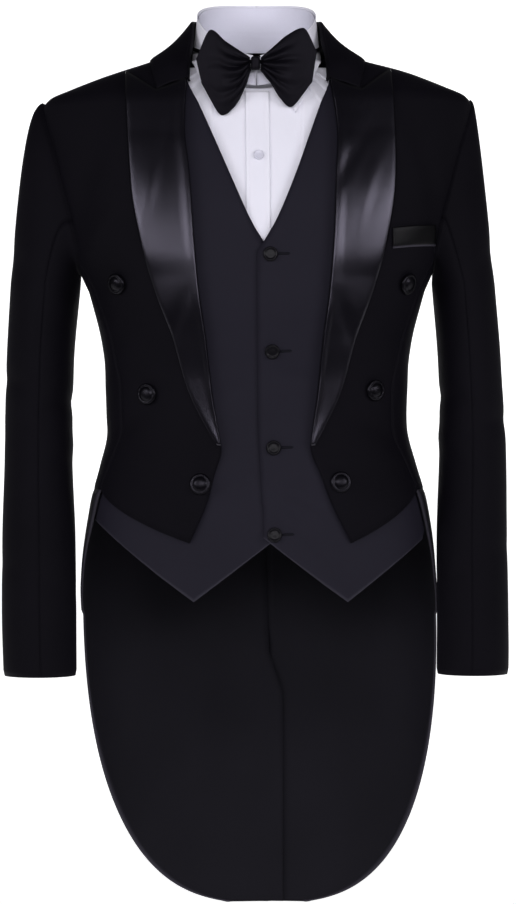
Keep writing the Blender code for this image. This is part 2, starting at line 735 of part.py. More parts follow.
# Shirt collar: its fold rises to the back, steepest beside the neck
COLLAR_HALF = 64
COLLAR_FRONT_BACK = 66
COLLAR_CENTRE = -6
COLLAR_FRONT_HEIGHT = 4
COLLAR_RISE = 70
COLLAR_RISE_POWERS = (0.8, 1.5)
STAND_DROP = 2.5
STAND_FRONT = 29
STAND_BACK = 51
STAND_SIDE = 15
LEAF_START = 3
LEAF_POINT_TURN = 35
LEAF_FALL = 41
LEAF_FALL_SIDE = 8
LEAF_POINT_FALL = 35
LEAF_POINT_WIDTH = 0.35
LEAF_SPREAD = (0.9, 7.5)
LEAF_FRONT_DRAW = 3
LEAF_BACK_DRAW = 2.4
LEAF_CURVE = 1.4
LEAF_CLEAR = 1.6
LEAF_CLEAR_TOP = 0


def collar_fold(angle, out=0.0):
    """Point of the shirt collar's fold, moved out level."""
    turn = math.radians(angle)
    to_back = min((1 - math.cos(turn)) / 2, 1.0)
    x = (COLLAR_HALF + out) * math.sin(turn)
    y = COLLAR_CENTRE - (COLLAR_FRONT_BACK + out) * math.cos(turn)
    start, end = COLLAR_RISE_POWERS
    height = COLLAR_FRONT_HEIGHT + COLLAR_RISE * (1 - (1 - to_back ** start) ** end)
    return Vector((x, y, height))


def leaf_point(across, down):
    """Point of the turned-down collar: across from the front to the back, down from the fold."""
    side = math.copysign(1, across)
    across = abs(across)
    top = mix(LEAF_START, 180, across)
    foot = top + LEAF_POINT_TURN * (1 - across) ** 3
    near_front = max(0.0, 1 - across / LEAF_POINT_WIDTH) ** 1.5
    angle = mix(top, foot, down)
    fall = LEAF_FALL + LEAF_FALL_SIDE * math.sin(math.radians(angle)) ** 2 + LEAF_POINT_FALL * near_front
    draw = LEAF_FRONT_DRAW * near_front + LEAF_BACK_DRAW * across ** 2
    spread = mix(LEAF_SPREAD[0], LEAF_SPREAD[1] - draw, down ** LEAF_CURVE)
    point = collar_fold(side * angle, spread) - Vector((0, 0, 0.4 + fall * down))
    if point.y < COLLAR_CENTRE and point.z < LEAF_CLEAR_TOP:
        surface = on_body(front_angle(point.x, point.z), point.z, SHIRT_OUT + LEAF_CLEAR)
        point.y = min(point.y, surface.y)
    return point


def shirt_collar():
    """Stand round the neck, and the leaf turned down over it with its two points."""
    stand = []
    for down in (0.0, 0.5, 1.0):
        row = []
        for u in shares(22):
            angle = mix(-178, 178, u) + 180
            fold = collar_fold(angle, -1.0)
            turn = math.radians(angle)
            depth = mix(STAND_FRONT, STAND_BACK, (1 - math.cos(turn)) / 2)
            depth += STAND_SIDE * math.sin(turn) ** 2
            row.append(fold - Vector((0, 0, STAND_DROP + depth * down)))
        stand.append(row)
    cloth_wall("shirt_collar_stand", stand, SHIRT_WALL, LINEN)
    for side, word in ((1, "left"), (-1, "right")):
        leaf = [[leaf_point(side * mix(0.001, 1, u), down) for u in shares(12)]
                for down in (0.0, 0.34, 0.67, 1.0)]
        cloth_wall("shirt_collar_leaf_" + word, leaf, SHIRT_WALL, LINEN)


def shirt_yoke():
    """Short back yoke that joins the shirt front's shoulders behind the neck."""
    grid = []
    for height, start in ((12, 90), (2, 114), (-12, 140), (-30, 154)):
        grid.append([on_body(mix(start, 360 - start, u), height, SHIRT_OUT) for u in shares(12)])
    cloth_wall("shirt_yoke", grid, SHIRT_WALL, LINEN)


def shirt_button():
    """Button on the placket."""
    height = -103
    angle = front_angle(2.5, height)
    centre = on_body(angle, height, SHIRT_OUT + PLACKET_OUT + PLACKET_WALL / 2 + SEAM_GAP)
    button("shirt_button", 5.5, 2.2, centre, body_normal(angle, height), LINEN, 0.6)


# Bow tie
KNOT = Vector((-1.0, -85.4, -6.0))
KNOT_SIZE = (10.5, 13.0, 15.0)
# Wings, from the knot outwards: top edge then bottom edge, each across and height from the knot
WINGS = {
    "right": ((-6.2, 6.5, -6.2, -6.5), (-18, 14, -14, -32), (-33, 24, -24, -48),
              (-48, 36, -36, -56), (-64, 5, -58, -22)),
    "left": ((6.2, 6.5, 6.2, -6.5), (20, 18, 18, -24), (34, 30, 27, -38), (51, 38, 38, -47),
             (66, 13, 61, -20)),
}
WING_WALL = 3.0
BAND_OUT = 6.1
BAND_FRONT = 8
BAND_BACK = 22
BAND_SIDE = 17
BAND_SIDE_OUT = 3.1
BAND_BACK_IN = 1.4


def wing_point(rows, along, across):
    """Point of a bow wing, along from the knot outwards and across from top to bottom."""
    marks = [i / (len(rows) - 1) for i in range(len(rows))]
    top_x, top_z, foot_x, foot_z = [Curve([(m, row[c]) for m, row in zip(marks, rows)])(along)
                                    for c in range(4)]
    x = mix(top_x, foot_x, across)
    height = mix(top_z, foot_z, across)
    swell = 5.0 * math.sin(math.pi * min(along * 1.15, 1.0)) * math.sin(math.pi * across)
    pleat = 1.6 * (1 - along) ** 1.2 * min(along * 4, 1.0) * math.cos(across * math.pi * 5)
    return Vector((KNOT.x + x, KNOT.y + 1.0 - swell - pleat, KNOT.z + height))


def bow_tie():
    """Ready-tied bow: two wings, a knot round their pleats, and a band round the collar."""
    for word, rows in WINGS.items():
        grid = [[wing_point(rows, along, across) for along in shares(8)] for across in shares(8)]
        cloth_wall("bow_wing_" + word, grid, WING_WALL, BOW_SATIN)
    mesh = bpy.data.meshes.new("bow_knot")
    shape = bmesh.new()
    size = Matrix.Diagonal((*[s * MM for s in KNOT_SIZE], 1.0))
    bmesh.ops.create_cube(shape, size=1.0, matrix=size)
    shape.to_mesh(mesh)
    shape.free()
    knot = add_object("bow_knot", mesh, BOW_SATIN)
    knot.location = KNOT * MM
    soft = knot.modifiers.new("soft_edges", "BEVEL")
    soft.width = 3.2 * MM
    soft.segments = 2
    grid = []
    for rise in (2.0, -2.0):
        row = []
        for u in shares(30):
            angle = mix(1.5, 358.5, u)
            turn = math.radians(angle)
            to_back = (1 - math.cos(turn)) / 2
            out = BAND_OUT + BAND_SIDE_OUT * math.sin(turn) ** 2 - BAND_BACK_IN * to_back
            point = collar_fold(angle, out)
            lower = mix(BAND_FRONT, BAND_BACK, to_back)
            lower += BAND_SIDE * math.sin(turn) ** 2
            row.append(Vector((point.x, point.y, point.z - lower + rise)))
        grid.append(row)
    cloth_wall("bow_neckband", grid, 1.0, BOW_SATIN)


def main():
    """Build every piece of the suit."""
    start_scene()
    coat_fronts()
    coat_side_bodies()
    coat_backs()
    coat_tails()
    sleeves()
    lapels()
    breast_welt()
    coat_collar()
    coat_buttons()
    waistcoat_fronts()
    waistcoat_backs()
    waistcoat_buttons()
    shirt_front()
    shirt_placket()
    shirt_collar()
    shirt_yoke()
    shirt_button()
    bow_tie()


main()
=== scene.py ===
import math

import bpy
import numpy as np
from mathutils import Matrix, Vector


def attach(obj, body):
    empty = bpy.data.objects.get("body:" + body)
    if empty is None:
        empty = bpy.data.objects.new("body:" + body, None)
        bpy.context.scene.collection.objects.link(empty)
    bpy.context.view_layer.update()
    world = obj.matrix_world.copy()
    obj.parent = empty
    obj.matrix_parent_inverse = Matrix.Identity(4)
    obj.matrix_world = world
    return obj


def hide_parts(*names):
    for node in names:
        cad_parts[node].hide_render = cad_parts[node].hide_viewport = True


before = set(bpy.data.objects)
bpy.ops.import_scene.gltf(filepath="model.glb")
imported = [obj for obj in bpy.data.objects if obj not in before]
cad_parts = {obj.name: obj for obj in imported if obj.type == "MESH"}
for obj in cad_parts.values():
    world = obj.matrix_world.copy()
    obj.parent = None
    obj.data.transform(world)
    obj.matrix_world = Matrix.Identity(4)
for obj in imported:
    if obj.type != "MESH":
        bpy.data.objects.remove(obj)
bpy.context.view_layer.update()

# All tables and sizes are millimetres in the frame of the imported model; MM turns them into metres
MM = 0.001
COAT_WALL = 2.2
WAISTCOAT_WALL = 1.7
SHIRT_WALL = 1.1
COAT_OUT = -1.2
WAISTCOAT_OUT = -6.2
SHIRT_OUT = -13.4
LAPEL_OUT = 1.9
SEAM_DIP = 0.7
SEAM_REACH = 2.6
SQUARENESS = 2.4
FINE = 1.0

# height, half-width, depth to the front, depth to the back
BODY_RINGS = ((26, 74, 50, 68), (14, 92, 62, 74), (2, 119, 70, 78), (-9, 148, 75, 81), (-20, 177, 79, 84),
    (-31, 205, 84, 87), (-42, 229, 89, 90), (-51, 235, 92, 92), (-100, 229, 108, 102),
    (-150, 221, 119, 108), (-190, 212, 124, 109), (-221, 200, 126, 108), (-240, 188, 126, 106),
    (-262, 181, 125, 103), (-306, 170, 119, 95), (-350, 165, 113, 89), (-394, 165, 111, 89),
    (-438, 174, 112, 95), (-482, 185.5, 115, 102), (-548, 194.5, 119, 111), (-600, 197, 121, 115),
    (-700, 196, 121, 118), (-820, 193, 120, 117), (-940, 190, 120, 114))
BODY_LEAN = ((30, 1), (-51, 1), (-380, 0), (-430, 2), (-500, 2.6), (-548, 2.2), (-620, 3.8), (-760, 7),
    (-940, 12))
SHOULDER_RISE = {1: 7.3, -1: 3.5}
RISE_START = 92
RISE_WIDTH = 85
RISE_FOOT = -300
RISE_DEPTH = 240
FRONT_LINE = ((20, 0), (-20, 2), (-80, 5), (-130, 7), (-200, 8), (-300, 8.5), (-400, 9.5), (-450, 12),
    (-520, 15), (-600, 15))
BACK_LINE = ((30, 0), (-300, 2), (-465, 9), (-650, 14), (-940, 16))


class Curve:
    """Smooth curve through table rows, flat at each peak, kept as a fine look-up."""

    def __init__(self, rows, column=1):
        rows = sorted(rows)
        places = np.array([row[0] for row in rows], float)
        values = np.array([row[column] for row in rows], float)
        rises = np.diff(values) / np.diff(places)
        slopes = np.zeros(len(rows))
        slopes[0], slopes[-1] = rises[0], rises[-1]
        for i in range(1, len(rows) - 1):
            before, after = rises[i - 1], rises[i]
            if before * after > 0:
                slopes[i] = 2 * before * after / (before + after)
        self.low, self.high = places[0], places[-1]
        self.count = 2000
        fine = np.linspace(self.low, self.high, self.count + 1)
        i = np.clip(np.searchsorted(places, fine, side="right") - 1, 0, len(places) - 2)
        step = places[i + 1] - places[i]
        t = (fine - places[i]) / step
        self.fine = ((1 + 2 * t) * (1 - t) ** 2 * values[i] + t * t * (3 - 2 * t) * values[i + 1]
                     + t * (1 - t) ** 2 * step * slopes[i]
                     + t * t * (t - 1) * step * slopes[i + 1]).tolist()
        self.scale = self.count / (self.high - self.low)

    def __call__(self, place):
        position = (min(max(place, self.low), self.high) - self.low) * self.scale
        i = min(int(position), self.count - 1)
        return self.fine[i] + (self.fine[i + 1] - self.fine[i]) * (position - i)


half_width = Curve(BODY_RINGS, 1)
front_depth = Curve(BODY_RINGS, 2)
back_depth = Curve(BODY_RINGS, 3)
body_lean = Curve(BODY_LEAN)
front_line = Curve(FRONT_LINE)
back_line = Curve(BACK_LINE)


def mix(start, end, share):
    """Value or vector a share of the way from start to end."""
    return start + (end - start) * share


def clamp(value, low=0.0, high=1.0):
    """Value held between two limits."""
    return min(max(value, low), high)


def ease(value):
    """Share from 0 to 1 with a soft start and end."""
    value = clamp(value)
    return value * value * (3 - 2 * value)


def shares(count):
    """Even shares from 0 to 1."""
    return [i / count for i in range(count + 1)]


def steps(count):
    """Number of steps at the script's fineness."""
    return max(4, int(round(count * FINE)))


def even(count):
    """Even shares from 0 to 1, as many as the script's fineness gives."""
    return shares(steps(count))


def bell(distance, width):
    """Smooth bump of height 1 where the distance is 0."""
    return math.exp(-(distance / width) ** 2)


def curves_along(rows):
    """A curve for each column of a table whose rows are evenly spaced from 0 to 1."""
    marks = shares(len(rows) - 1)
    return [Curve(list(zip(marks, column))) for column in zip(*rows)]


def shoulder_rise(x, height):
    """How far the surface is lifted towards the tip of a shoulder."""
    across = ease((abs(x) - RISE_START) / RISE_WIDTH)
    return SHOULDER_RISE[1 if x > 0 else -1] * across * clamp((height - RISE_FOOT) / RISE_DEPTH)


def ring_point(angle, height):
    """Point of the coat's outer face, angle in degrees from centre front towards +X."""
    turn = math.radians(angle)
    power = 2 / SQUARENESS
    side = math.copysign(abs(math.sin(turn)) ** power, math.sin(turn))
    ahead = math.copysign(abs(math.cos(turn)) ** power, math.cos(turn))
    depth = front_depth(height) if ahead > 0 else back_depth(height)
    x = body_lean(height) + half_width(height) * side
    return Vector((x, -depth * ahead, height + shoulder_rise(x, height)))


def body_normal(angle, height):
    """Outward direction of the body's surface."""
    across = ring_point(angle + 1.5, height) - ring_point(angle - 1.5, height)
    along = ring_point(angle, height + 1.5) - ring_point(angle, height - 1.5)
    return across.cross(along).normalized()


def on_body(angle, height, out=0.0):
    """Point of the body's surface, moved out along its normal."""
    return ring_point(angle, height) + body_normal(angle, height) * out


def strip(first, last, start, end, out, columns):
    """Row of points on the body, from one angle and height to another."""
    return [on_body(mix(first, last, u), mix(start, end, u), out) for u in columns]


def front_angle(x, height):
    """Angle of the front half at which the surface lies at x."""
    shift = x - body_lean(height)
    reach = min(abs(shift) / half_width(height), 1.0)
    return math.copysign(math.degrees(math.asin(reach ** (SQUARENESS / 2))), shift)


def back_angle(x, height, side):
    """Angle of the back half at which the surface lies at x, counted from the given side."""
    return side * 180 - front_angle(x, height)


def front_point(x, height, out):
    """Point of the surface in front, given by x and height."""
    return on_body(front_angle(x, height), height, out)


def fill(node, **values):
    """Set or link a shader node's inputs; an underscore stands for a space."""
    for name, value in values.items():
        socket = node.inputs[name.replace("_", " ")]
        if isinstance(value, bpy.types.NodeSocket):
            node.id_data.links.new(value, socket)
        else:
            socket.default_value = value


def new_node(tree, kind, **values):
    """New shader node with its inputs set or linked."""
    node = tree.nodes.new("ShaderNode" + kind)
    fill(node, **values)
    return node


def colour_mix(tree, kind="MIX", **values):
    """Output of a node that mixes two colours."""
    node = new_node(tree, "Mix")
    node.data_type = "RGBA"
    node.blend_type = kind
    fill(node, **values)
    return node.outputs["Result"]


def colour_noise(tree, coords, scale, low, high):
    """Colour that varies softly between two values over the cloth."""
    noise = new_node(tree, "TexNoise", Scale=scale, Detail=4.0, Vector=coords).outputs["Fac"]
    return colour_mix(tree, A=(*low, 1.0), B=(*high, 1.0), Factor=noise), noise


def new_material(name):
    """New material with its node tree, its shader and the coordinates of its object."""
    made = bpy.data.materials.new(name)
    made.use_nodes = True
    tree = made.node_tree
    return made, tree, tree.nodes["Principled BSDF"], new_node(tree, "TexCoord").outputs["Object"]


# Shade between and on the yarns, and how far a yarn stands up, in metres
YARN_SHADES = (0.82, 1.12)
YARN_RELIEF = 0.0003


def cloth_material(name, low, high, roughness, weave, bump, sheen=0.0, sheen_tint=(1, 1, 1),
                   specular=0.3, specular_tint=(1, 1, 1), edge=None, twill=45.0):
    """Woven cloth: two crossing sets of yarns as bump and shade, over a soft uneven colour, and a painted
    edge highlight.
    """
    made, tree, shader, place = new_material(name)
    colour, patchy = colour_noise(tree, place, 9.0, low, high)
    yarns = new_node(tree, "Math")
    yarns.operation = "MULTIPLY"
    for turn, socket in zip((twill, twill - 90), yarns.inputs):
        mapping = new_node(tree, "Mapping", Rotation=(0, math.radians(turn), 0), Vector=place)
        wave = new_node(tree, "TexWave", Scale=weave, Distortion=1.2, Detail=2.0, Detail_Scale=3.0,
                        Vector=mapping.outputs["Vector"])
        wave.wave_profile = "SIN"
        tree.links.new(wave.outputs["Fac"], socket)
    yarns = yarns.outputs["Value"]
    shade = new_node(tree, "MapRange", Value=yarns, To_Min=YARN_SHADES[0], To_Max=YARN_SHADES[1])
    colour = colour_mix(tree, "MULTIPLY", Factor=1.0, A=colour, B=shade.outputs["Result"])
    # Painted highlight: the edge colour is mixed in where a panel's edge would catch the light, as the
    # mesh's attribute gives it
    if edge:
        edge_highlight = new_node(tree, "Attribute")
        edge_highlight.attribute_name = "edge_highlight"
        colour = colour_mix(tree, Factor=edge_highlight.outputs["Fac"], A=colour, B=(*edge, 1.0))
    rough = new_node(tree, "MapRange", Value=patchy, To_Min=roughness - 0.05, To_Max=roughness + 0.06)
    relief = new_node(tree, "Bump", Strength=bump, Distance=YARN_RELIEF, Height=yarns)
    fill(shader, Base_Color=colour, Roughness=rough.outputs["Result"], Normal=relief.outputs["Normal"],
         Specular_IOR_Level=specular, Specular_Tint=(*specular_tint, 1.0), Sheen_Weight=sheen,
         Sheen_Roughness=0.4, Sheen_Tint=(*sheen_tint, 1.0))
    return made


WOOL = cloth_material("black_worsted", (0.0023, 0.0020, 0.0034), (0.0050, 0.0044, 0.0068), 0.66, 520,
    0.35, sheen=0.01, sheen_tint=(0.75, 0.72, 0.95), specular=0.045)
# Painted light: the coat's black worsted made about twice as light for the tails, and its edge colour a
# painted highlight along each tail's front edge
LIT_TAIL_WOOL = cloth_material("black_worsted_tails_painted_light", (0.0046, 0.0043, 0.0062), (0.0098, 0.0092, 0.0128),
    0.66, 520, 0.35, sheen=0.01, specular=0.06, edge=(0.030, 0.028, 0.036))
# The charcoal's edge colour is a painted highlight, a light line along the waistcoat fronts' hem
CHARCOAL = cloth_material("charcoal_worsted", (0.0098, 0.0090, 0.0148), (0.0160, 0.0148, 0.0228), 0.6,
    520, 0.35, sheen=0.012, sheen_tint=(0.8, 0.78, 1.0), specular=0.08, edge=(0.034, 0.032, 0.043))
SATIN = cloth_material("black_satin", (0.0016, 0.0014, 0.0024), (0.0028, 0.0025, 0.0040), 0.23, 900, 0.10,
    specular=0.38, specular_tint=(0.86, 0.82, 1.0), twill=8.0)
# The welt satin's edge colour is a painted highlight along the welt's lower edge
WELT_SATIN = cloth_material("black_satin_welt", (0.0010, 0.0009, 0.0013), (0.0020, 0.0019, 0.0026), 0.4,
    900, 0.10, specular=0.10, twill=8.0, edge=(0.045, 0.042, 0.055))
# Painted shade: a darker, bluer copy of the shirt's poplin, for the collar stand, whose inside lies in
# shade
SHADED_POPLIN = cloth_material("white_poplin_painted_shade", (0.74, 0.74, 0.84), (0.80, 0.80, 0.89), 0.8, 700,
    0.2, sheen=0.1, specular=0.15, twill=0.0)
POPLIN = cloth_material("white_poplin", (0.86, 0.86, 0.93), (0.92, 0.92, 0.98), 0.75, 700, 0.2, sheen=0.1,
    specular=0.2, twill=0.0)
GROSGRAIN = cloth_material("black_ribbed_silk", (0.0015, 0.0013, 0.0022), (0.0036, 0.0032, 0.0050), 0.42,
    650, 0.3, sheen=0.008, specular=0.085, specular_tint=(0.88, 0.84, 1.0), twill=0.0)
BUTTON_SATIN = cloth_material("covered_button_satin", (0.0012, 0.0011, 0.0017), (0.0026, 0.0024, 0.0034),
    0.3, 900, 0.08, specular=0.13, specular_tint=(0.88, 0.84, 1.0), twill=30.0)
RIM_SATIN = cloth_material("waistcoat_button_satin", (0.0022, 0.0020, 0.0030), (0.0050, 0.0046, 0.0064),
    0.34, 900, 0.08, specular=0.10, twill=30.0)
PEARL = cloth_material("shirt_button_shell", (0.62, 0.62, 0.70), (0.75, 0.75, 0.84), 0.3, 300, 0.05,
    specular=0.5)
THREAD = cloth_material("buttonhole_thread", (0.004, 0.004, 0.007), (0.008, 0.008, 0.012), 0.6, 1500, 0.5,
    specular=0.1)


def settle(piece, node):
    """The piece rides with the suit and stands for its node."""
    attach(piece, "root")
    if node:
        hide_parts(node)


def placed(name, data):
    """New object in the scene."""
    item = bpy.data.objects.new(name, data)
    bpy.context.scene.collection.objects.link(item)
    return item


def mesh_object(name, points, faces, cloth):
    """Object made from points in millimetres."""
    mesh = bpy.data.meshes.new(name)
    mesh.from_pydata([tuple(point * MM) for point in points], [], faces)
    mesh.materials.append(cloth)
    mesh.shade_smooth()
    return placed(name, mesh)


def grid_faces(rows, columns):
    """Quads of a grid of points."""
    return [(r * columns + c, r * columns + c + 1, (r + 1) * columns + c + 1, (r + 1) * columns + c)
            for r in range(rows - 1) for c in range(columns - 1)]


def ring_faces(rows, columns):
    """Quads of a closed tube, ring after ring, that face outwards."""
    return [((r + 1) * columns + c, (r + 1) * columns + n, r * columns + n, r * columns + c)
            for r in range(rows - 1) for c in range(columns) for n in [(c + 1) % columns]]


def thicken(item, wall):
    """Give a thin part its wall, half on each side of its face."""
    solid = item.modifiers.new("wall", "SOLIDIFY")
    solid.thickness = wall * MM
    solid.offset = 0.0


def grid_normals(grid):
    """Unit normals at the points of a grid."""
    table = np.array([[tuple(point) for point in row] for row in grid])
    across = np.gradient(table, axis=1)
    down = np.gradient(table, axis=0)
    normals = np.cross(down, across)
    lengths = np.linalg.norm(normals, axis=2, keepdims=True)
    return table, normals / np.maximum(lengths, 1e-9)


def edge_distance(table):
    """Distance of each grid point from the grid's nearest edge."""
    across = np.linalg.norm(np.diff(table, axis=1), axis=2)
    down = np.linalg.norm(np.diff(table, axis=0), axis=2)
    left = np.concatenate([np.zeros((table.shape[0], 1)), np.cumsum(across, axis=1)], axis=1)
    top = np.concatenate([np.zeros((1, table.shape[1])), np.cumsum(down, axis=0)], axis=0)
    return left, left[:, -1:] - left, top, top[-1:] - top


# Creases of each region: x and height of the middle, way it runs in degrees from level,
# length, width, and how far it rises or, with a minus sign, sinks
CREASES = {
    "lapel": ((-98, -104, 82, 44, 9, -0.7), (-116, -150, 76, 40, 8, 0.6), (96, -118, 62, 46, 8, -0.9),
        (116, -150, 74, 44, 8, 0.8), (-92, -300, 70, 50, 8, -0.6), (98, -290, -68, 46, 8, -0.6)),
    "front": ((-40, -468, 24, 46, 9, -1.5), (-58, -452, 18, 40, 10, 1.2), (52, -474, -28, 50, 9, -1.6),
        (74, -455, -20, 42, 11, 1.3), (34, -496, -40, 36, 8, -1.2), (-32, -360, 12, 38, 10, -0.9),
        (44, -345, -14, 40, 9, -0.9), (-136, -392, 38, 50, 12, -1.6), (138, -404, -34, 52, 12, -1.6),
        (-150, -330, 60, 46, 12, 1.3), (154, -335, -58, 44, 12, 1.2), (-186, -140, 78, 60, 14, -2.4),
        (190, -150, -80, 64, 14, -2.2), (-170, -190, 62, 44, 12, 1.6), (172, -120, -70, 40, 10, 1.2),
        (-128, -290, 35, 36, 9, -0.9), (20, -392, 6, 34, 8, -0.8), (-12, -540, 50, 30, 8, -1.0),
        (70, -548, -48, 36, 9, 1.1), (-86, -540, 40, 40, 9, 1.0)),
    "back": ((-60, -330, 22, 60, 12, -1.8), (74, -340, -26, 56, 12, -1.7), (-128, -180, 70, 60, 14, -2.2),
        (132, -170, -68, 64, 14, -2.3), (20, -395, -10, 66, 11, -1.5), (-96, -420, 30, 44, 10, 1.4),
        (-70, -760, 86, 150, 22, 2.6), (88, -740, -86, 170, 24, 2.8), (-128, -660, 82, 120, 18, -2.2),
        (140, -640, -82, 110, 18, -2.4), (36, -560, 88, 90, 14, 1.8), (-22, -100, 80, 60, 14, -1.2)),
    "arm_left": ((226, -372, -24, 34, 9, -2.2), (246, -396, 18, 30, 9, -1.8),
        (222, -420, -36, 36, 10, 1.6), (240, -232, 62, 44, 12, -1.8), (236, -545, 30, 34, 10, -1.4),
        (250, -610, -60, 40, 11, 1.2)),
    "arm_right": ((-226, -380, 26, 36, 9, -2.2), (-248, -352, -16, 30, 9, -1.7),
        (-224, -428, 34, 32, 10, 1.5), (-244, -240, -60, 40, 12, -1.8), (-238, -560, -26, 36, 10, -1.3),
        (-228, -622, 62, 36, 11, 1.2)),
}
CREASE_DEPTH = 1.35
CREASE_BEND = 0.05


def crease_lift(table, where):
    """How far the creases of a region lift each point."""
    lift = np.zeros(table.shape[:2])
    for x, height, way, length, width, rise in CREASES[where]:
        turn = math.radians(way)
        level, upright = table[..., 0] - x, table[..., 2] - height
        along = level * math.cos(turn) + upright * math.sin(turn)
        across = upright * math.cos(turn) - level * math.sin(turn)
        bend = across + CREASE_BEND * along * along / length
        lift += CREASE_DEPTH * rise * np.exp(-(bend / width) ** 2 - (along / length) ** 2)
    return lift


def cloth(name, grid, wall, fabric, slot, regions=(), dips=(1, 1, 1, 1), edge_highlight=(0, 0, 0, 0), node=None,
          held="draped"):
    """Sewn panel on its solid's form: pressed seams, creases and a thin wall; its flat size is worked out
    but not kept.
    """
    table, normals = grid_normals(grid)
    if normals[len(grid) // 2, len(grid[0]) // 2] @ outward_of(table) < 0:
        normals = -normals
    distances = edge_distance(table)
    lift = np.zeros(table.shape[:2])
    for region in regions:
        side = -1 if region == "front" else 1
        facing = np.clip(0.5 + side * table[..., 1] / 30, 0, 1) if region in ("front", "back") else 1.0
        lift += crease_lift(table, region) * facing
    for distance, share in zip(distances, dips):
        lift -= share * SEAM_DIP * np.exp(-(distance / SEAM_REACH) ** 2)
    table = table + normals * lift[..., None]
    # Painted highlight: how much of the fabric's lighter edge colour each point takes, fading inwards from
    # the chosen edges over each reach
    lit = np.zeros(table.shape[:2])
    for distance, reach in zip(distances, edge_highlight):
        if reach:
            lit = np.maximum(lit, np.clip(1.3 - distance / reach, 0, 1))
    points = [Vector(point) for point in table.reshape(-1, 3)]
    item = mesh_object("cloth_" + name, points, grid_faces(*table.shape[:2]), fabric)
    if any(edge_highlight):
        layer = item.data.attributes.new("edge_highlight", "FLOAT", "POINT")
        layer.data.foreach_set("value", lit.reshape(-1).astype(np.float32))
    thicken(item, wall)
    settle(item, node or name)
    declare_sheet(table)
    return item


# How far out a sleeve's axis lies, and from where a panel belongs to a sleeve
ARM_AXIS = 237
ARM_FROM = 195


def outward_of(table):
    """Rough outward direction of a panel: away from the body's or the sleeve's axis."""
    centre = table[table.shape[0] // 2, table.shape[1] // 2]
    whole = table.reshape(-1, 3).mean(axis=0)
    axis_x = math.copysign(ARM_AXIS, whole[0]) if abs(whole[0]) > ARM_FROM else 0.0
    return np.array([centre[0] - axis_x, centre[1], 0.0])


# A narrow band is cut at least this wide and folded; a cut fills this much of its rectangle
NARROWEST = 10.5
LEAST_AREA = 0.31


def declare_sheet(table):
    """Work out the flat cut of a panel from its own widths, lengths and area; the result is not kept."""
    across = np.linalg.norm(np.diff(table, axis=1), axis=2).sum(axis=1)
    down = np.linalg.norm(np.diff(table, axis=0), axis=2).sum(axis=0)
    width, length = float(across.max()) * MM, max(float(down.max()), NARROWEST) * MM
    one = np.cross(table[1:, :-1] - table[:-1, :-1], table[:-1, 1:] - table[:-1, :-1])
    two = np.cross(table[1:, :-1] - table[1:, 1:], table[:-1, 1:] - table[1:, 1:])
    area = float(np.linalg.norm(one, axis=2).sum() + np.linalg.norm(two, axis=2).sum()) / 2 * MM * MM
    area = min(max(area, LEAST_AREA * width * length), width * length)


def resample(values, count):
    """Even shares along a list of marks, for rows that a table gives."""
    marks = np.linspace(0, len(values) - 1, count + 1)
    curves = [Curve(list(enumerate(column))) for column in zip(*values)]
    return [tuple(curve(mark) for curve in curves) for mark in marks]


# The coat's cut: armhole, seams and front edge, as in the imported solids
ARMHOLE_FRONT = Curve(((-46, 90), (-60, 83), (-97, 74), (-137, 69.5), (-188, 67.5), (-205, 69),
    (-218, 74)))
ARMHOLE_BACK = Curve(((-46, 90), (-60, 97), (-97, 107), (-137, 112), (-170, 113), (-200, 112)))
ARMHOLE_FOOT = Curve(((74, -218), (84, -227), (93, -230), (103, -222), (112, -200)))
FRONT_SIDE_SEAM = Curve(((-218, 74), (-262, 70), (-306, 65), (-361, 60), (-400, 61), (-435, 66),
    (-465, 71)))
SIDE_BACK_SEAM = Curve(((-200, 112), (-262, 118), (-350, 126), (-400, 126), (-465, 122)))
WAIST = -465
SHOULDER_TIP = -46
FRONT_EDGE = Curve(((14, 72), (-22, 77), (-80, 82), (-122, 79), (-195, 75), (-252, 70), (-302, 63),
    (-363, 56.5), (-412, 49), (-420, 48), (-449, 57), (-479, 67), (-522, 87)))
FRONT_ROWS = ((-22, 14), (-25, 2), (-30, -9), (-36, -20), (-43, -31), (-50, -42), (-56, -47), (-68, -62),
    (-97, -97), (-137, -137), (-172, -172), (-200, -200), (-222, -218), (-250, -250), (-285, -285),
    (-320, -320), (-360, -355), (-395, -388), (-420, -412), (-449, -432), (-479, -448), (-522, -465))
SIDE_ROWS = (-250, -285, -320, -355, -388, -412, -432, -448, -465)
BACK_ROWS = ((26, 14), (13, 2), (0, -9), (-13, -20), (-26, -31), (-39, -42), (-46, -47), (-62, -62),
    (-97, -97), (-137, -137), (-170, -170), (-200, -200)) + tuple((height, height) for height in
    SIDE_ROWS)
SIDES = ((1, "left"), (-1, "right"))
ARMHOLE_FOOT_SPAN = (74, 112)
ARMHOLE_LOW_FRONT = -218
ARMHOLE_LOW_BACK = -200


def front_outer_angle(height):
    """Outer edge of the coat's front: shoulder seam, armhole, then the side seam."""
    if height >= SHOULDER_TIP:
        return 90.0
    return ARMHOLE_FRONT(height) if height > ARMHOLE_LOW_FRONT else FRONT_SIDE_SEAM(height)


def back_outer_angle(height):
    """Outer edge of the coat's back: shoulder seam, armhole, then the back seam."""
    if height >= SHOULDER_TIP:
        return 90.0
    return ARMHOLE_BACK(height) if height > ARMHOLE_LOW_BACK else SIDE_BACK_SEAM(height)


def edge_x(curve, height, side):
    """Sideways place of a front edge that a curve gives from the front's centre line."""
    return front_line(height) + side * curve(height)


